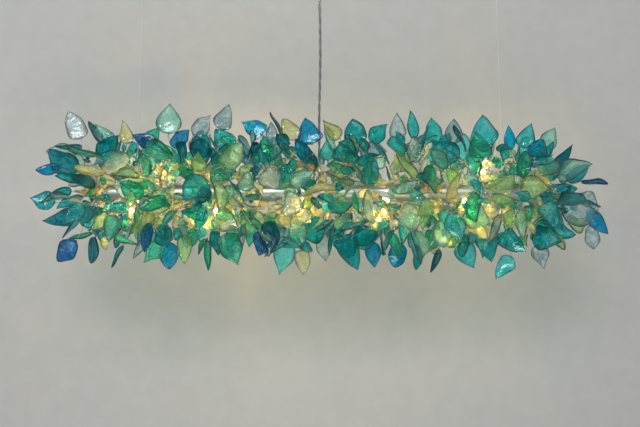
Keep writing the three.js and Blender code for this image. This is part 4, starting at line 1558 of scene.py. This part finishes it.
def add_flower(to, bit):
    """Five cupped petals round a bead, on a twig."""
    kind, look, radius = KIND_OF[bit["glass"]], bit["look"], bit["radius"]
    heart = KIND_OF["amber" if look["tone"] > 0.6 else "honey"]
    petals = 5 if look["phase"] > 2.2 else 6
    for k in range(petals):
        turn = 2 * math.pi * k / petals + 0.25 * math.sin(look["phase"] + 3 * k)
        spoke = bit["along"] * math.cos(turn) + bit["across"] * math.sin(turn)
        tilt = 0.45 + 0.25 * math.sin(look["phase"] * 3 + 2 * k)
        along = spoke * math.cos(tilt) + bit["normal"] * math.sin(tilt)
        across = cross(bit["normal"], spoke)
        length = radius * (0.94 + 0.1 * math.sin(5 * k + look["phase"]))
        petal = {
            "centre": bit["centre"] + along * (length * 0.5), "along": along, "across": across,
            "normal": cross(along, across), "length": length, "width": length * 0.86,
        }
        bend = dict(
            look, base=0.6, tip=0.34, cup=length * 0.16, curl=-2.0 * math.sin(k + look["phase"]), hook=0.0
        )
        bend.update(wave=0.5, frill=1.0, sheet=0.5, bead=0.95, twist=0.5 * math.sin(4 * k + look["phase"]))
        add_blade(to, petal, bend, kind, 5, FEW_ACROSS)
    bead = [(2.3 * math.cos(a), 2.3 * math.sin(a) + 0.8) for a in (-1.3, -0.8, -0.2, 0.4, 1.0, 1.4)]
    add_turned(to, bead, bit["centre"], bit["normal"], heart, 10, look["tone"])
    line = wire_line(bit["root"], bit["centre"], 0.4, 0.0)
    add_rod(to, line[::2] + line[-1:], [0.5] * 4, 0, 5)


used = {}
for k, hub in enumerate(hubs):
    spray = Mesh()
    foot, head = hub["foot"], HUB["head"]
    turned = [(3.5, foot), (3.5, foot + 0.8), (2.6, foot + 1.2), (2.6, foot + 1.8)]
    turned += [
        (head * math.cos(a), foot + HUB["height"] + head * math.sin(a)) for a in (
            -0.75, -0.4, 0, 0.4, 0.8, 1.2, 1.5
        )
    ]
    add_turned(spray, turned, hub["at"], hub["out"], 1)
    for leaf in leaves:
        if leaf["hub"] == k:
            add_leaf(spray, leaf)
            used[leaf["glass"]] = used.get(leaf["glass"], 0) + 1
    for bit in flowers + leaflets:
        if bit["parent"]["hub"] == k:
            (add_flower if bit["flower"] else add_leaflet)(spray, bit)
    name = "glass_spray_" + f"{k + 1:02d}"
    piece(name, spray.finish(name, SPRAY_MATERIALS), "light", ["leaf_spray_" + name[-2:]])
print("leaves of each glass:", used)

# %% [markdown]
# ## The bulbs
#
# A two-pin halogen bulb is a quartz capsule about as big as a finger tip, pinched flat at the bottom
# over two pins, with a coil of tungsten stretched inside it. Lit, the coil is the only thing the eye
# sees, so it is a real coil of wire that glows. The shell round it has an outer and an inner face, as
# glass has.

# %% Bulb finishes
def glowing(name, colour, strength):
    made, tree, shader, _ = new_material(name)
    place = node(tree, "ShaderNodeTexCoord").outputs["Object"]
    flicker = node(tree, "ShaderNodeTexNoise", [("Vector", place), ("Scale", 300.0)])
    warm = mix_colours(tree, spread(tree, flicker.outputs[0], 0.3, 0.7), (*colour, 1), (1.0, 0.72, 0.38, 1))
    shader.inputs["Base Color"].default_value = (0.9, 0.8, 0.6, 1)
    tree.links.new(warm, shader.inputs["Emission Color"])
    shader.inputs["Emission Strength"].default_value = strength
    return made


COIL_GLOW = glowing("coil_glow", (1.0, 0.82, 0.52), 6.0)
QUARTZ = glass_material("quartz", (1.0, 0.92, 0.74), (0.96, 0.84, 0.6), 0.1, 0.05, 0.993)
PIN_METAL = handled_material("pin_metal", (0.6, 0.58, 0.54), (0.45, 0.43, 0.4), 0.3, 0.1, 1.0, 2000.0, 0.05)


def bulb_mesh(name, at, out):
    """The quartz shell with its pinch, the two pins and the lit coil, in one mesh."""
    made = Mesh()
    across = arr(1, 0, 0)
    third = cross(out, across)
    outer = [
        (3.2, 25), (5.4, 27), (6.4, 30), (6.6, 33), (6.6, 48), (6.1, 51.5), (4.8, 54.6), (2.6, 57),
        (1.0, 58.3), (0.3, 58.9),
    ]
    inner = [
        (0.2, 56.6), (1.5, 55.8), (3.7, 53.5), (5.0, 50.8), (5.6, 47.8), (5.6, 33), (5.3, 30.2), (4.2, 28),
        (1.0, 27.2), (0.2, 27.2),
    ]
    add_turned(made, outer, at, out, 0, 28)
    add_turned(made, inner, at, out, 0, 28)
    rings = []
    for h, w, t in (
        (12.6, 4.8, 2.3), (14, 4.9, 2.35), (18, 4.7, 2.2), (22, 4.6, 2.2), (24.5, 3.8, 2.8), (26.2, 3.2, 3.0)
    ):
        places = []
        for n in range(16):
            a = 2 * math.pi * n / 16
            c, s = math.cos(a), math.sin(a)
            x = w * math.copysign(abs(c) ** 0.5, c)
            y = t * math.copysign(abs(s) ** 0.6, s)
            places.append((at + out * h + across * x + third * y) * MM)
        rings.append(made.ring(places, [0.2] * 16, 0.3))
    made.tube(rings, 0)
    for side in (-1, 1):
        foot = at + across * (4 * side)
        add_rod(made, [foot + out * h for h in (6.5, 6.8, 10, 13)], [0.35, 0.5, 0.5, 0.5], 1, 10)
        lead = [at + across * (x * side) + out * h for x, h in ((2.6, 24), (2.6, 29), (2.2, 33), (1.1, 35.5))]
        add_rod(made, lead, [0.3] * 4, 1, 6)
    coil = [
        at + out * (35.5 + 9.5 * t) + (across * math.cos(a) + third * math.sin(a)) * 1.1
        for t, a in ((n / 90, n * 0.78) for n in range(91))
    ]
    add_rod(made, coil, [0.45] * len(coil), 2, 5)
    return made.finish(name, [QUARTZ, PIN_METAL, COIL_GLOW])


# %% [markdown]
# ## The bulbs' light
#
# The glowing coil is too small a thing to light a room evenly, so each bulb also has a small warm lamp
# at its middle. It lights the glass round it, and is hidden from the camera and from reflections.

# %% Make the bulbs and their light
for k, (x, out) in enumerate(bulbs_mm, 1):
    name = f"capsule_bulb_{k}"
    piece(name, bulb_mesh(name, axis_mm(x), out), f"bulb_{k}", [f"halogen_bulb_{k}"])
    lamp = bpy.data.lights.new(f"bulb_light_{k}", "POINT")
    lamp.energy, lamp.color, lamp.shadow_soft_size = 1.5, (1.0, 0.72, 0.4), 0.005
    shine = bpy.data.objects.new(lamp.name, lamp)
    scene.collection.objects.link(shine)
    shine.visible_camera = False
    shine.visible_glossy = False
    shine.location = (axis_mm(x) + out * 40) * MM
print("bulbs:", len(bulbs_mm))

# %% [markdown]
# ## The room
#
# The light hangs before a plain wall in soft daylight from above and in front. The wall is pale grey
# and curves into the floor, so that no line crosses behind the glass. It shows only its front: seen
# from behind it lets the eye through, so the light can be looked at from all round.

# %% Make the wall and the floor
def wall_material():
    made, tree, shader, out = new_material("painted_wall")
    surface = placed_group(
        tree, HANDLED_SURFACE, Colour=(0.5, 0.5, 0.485, 1), Shade=(0.48, 0.48, 0.466, 1), Roughness=0.9,
        Grain=90.0,
    )
    tree.links.new(surface.outputs["Colour"], shader.inputs["Base Color"])
    tree.links.new(surface.outputs["Roughness"], shader.inputs["Roughness"])
    shader.inputs["Specular IOR Level"].default_value = 0.1
    back = node(tree, "ShaderNodeNewGeometry").outputs["Backfacing"]
    nothing = tree.nodes.new("ShaderNodeBsdfTransparent")
    mixed = tree.nodes.new("ShaderNodeMixShader")
    tree.links.new(back, mixed.inputs[0])
    tree.links.new(shader.outputs[0], mixed.inputs[1])
    tree.links.new(nothing.outputs[0], mixed.inputs[2])
    tree.links.new(mixed.outputs[0], out.inputs[0])
    return made


WALL_Y, FLOOR_Z, BEND = 0.33, -2.2, 0.5
profile = [(WALL_Y, 2.4), (WALL_Y, 1.0), (WALL_Y, 0.0), (WALL_Y, FLOOR_Z + BEND)]
profile += [
    (WALL_Y - BEND + BEND * math.cos(a), FLOOR_Z + BEND - BEND * math.sin(a)) for a in (
        math.pi / 2 * n / 12 for n in range(1, 13)
    )
]
profile.append((-5.0, FLOOR_Z))
points = [(x, y, z) for y, z in profile for x in (-6.0, 6.0)]
faces = [(2 * k, 2 * k + 1, 2 * k + 3, 2 * k + 2) for k in range(len(profile) - 1)]
backdrop = bpy.data.objects.new("wall_and_floor", mesh_from("wall_and_floor", points, faces))
backdrop.data.materials.append(wall_material())
scene.collection.objects.link(backdrop)
backdrop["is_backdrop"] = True
facing = backdrop.data.polygons[0].normal
if facing.y > 0:
    backdrop.data.flip_normals()
print("wall faces", tuple(round(v, 2) for v in backdrop.data.polygons[0].normal))


# %% [markdown]
# ## Shadows of the ceiling fittings
#
# A real light hangs lower, on longer cords, so its ceiling fittings are too far up to throw a shadow on
# this stretch of wall. Here they are close above the glass, and their shadow is switched off.

# %% Keep the ceiling fittings' shadow off the wall
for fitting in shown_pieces():
    if body_of(fitting) in (["ceiling"], ["cover"]):
        fitting.visible_shadow = False

# %% [markdown]
# ## The room's light
#
# The main light is a window high in front. A large dim panel on the left and one below soften the
# shadow, a small bright one on the right makes the glints, and a grey sky fills in the rest.

# %% Light the room
def soft_light(name, at, towards, size, energy, colour=(1, 1, 1)):
    data = bpy.data.lights.new(name, "AREA")
    data.shape, data.size, data.size_y = "RECTANGLE", size[0], size[1]
    data.energy, data.color = energy, colour
    made = bpy.data.objects.new(name, data)
    scene.collection.objects.link(made)
    made.location = at
    made.rotation_euler = (Vector(towards) - Vector(at)).to_track_quat("-Z", "Y").to_euler()
    return made


soft_light("window", (-0.3, -2.1, 0.65), (-0.55, 0.1, -0.42), (1.25, 0.65), 31, (1.0, 0.99, 0.97))
soft_light("fill", (-2.4, -1.9, -0.3), (-0.2, 0, -0.45), (1.6, 1.6), 17, (0.97, 0.99, 1.0))
soft_light("sparkle", (1.6, -1.4, 0.5), (0.1, 0, -0.45), (0.22, 0.22), 5, (1.0, 0.99, 0.97))
soft_light("low_fill", (0.3, -1.7, -1.5), (0.1, 0.1, -0.5), (1.4, 1.0), 9, (0.99, 0.99, 1.0))
world = bpy.data.worlds.new("soft_room")
scene.world = world
world.use_nodes = True
sky = world.node_tree
upward = node(sky, "ShaderNodeSeparateXYZ", [(0, node(sky, "ShaderNodeTexCoord").outputs["Generated"])])
shade = mix_colours(
    sky, spread(sky, upward.outputs[2], -0.1, 0.75), (0.9, 0.93, 0.95, 1), (0.36, 0.36, 0.36, 1)
)
sky.links.new(shade, sky.nodes["Background"].inputs[0])
sky.nodes["Background"].inputs[1].default_value = 0.41
scene.view_settings.view_transform = "Standard"
scene.cycles.max_bounces = 24
scene.cycles.transmission_bounces = 24
scene.cycles.transparent_max_bounces = 24

# %% [markdown]
# ## The cords' facts, and the end
#
# Each cord is declared with its real length and thickness, so that it can be measured. Both cables and
# the cord end in their ceiling fittings.

for hand, (foot, ball, up) in cable_lines.items():
    start = foot + up * (GRIPPER["start"] + 5) * MM
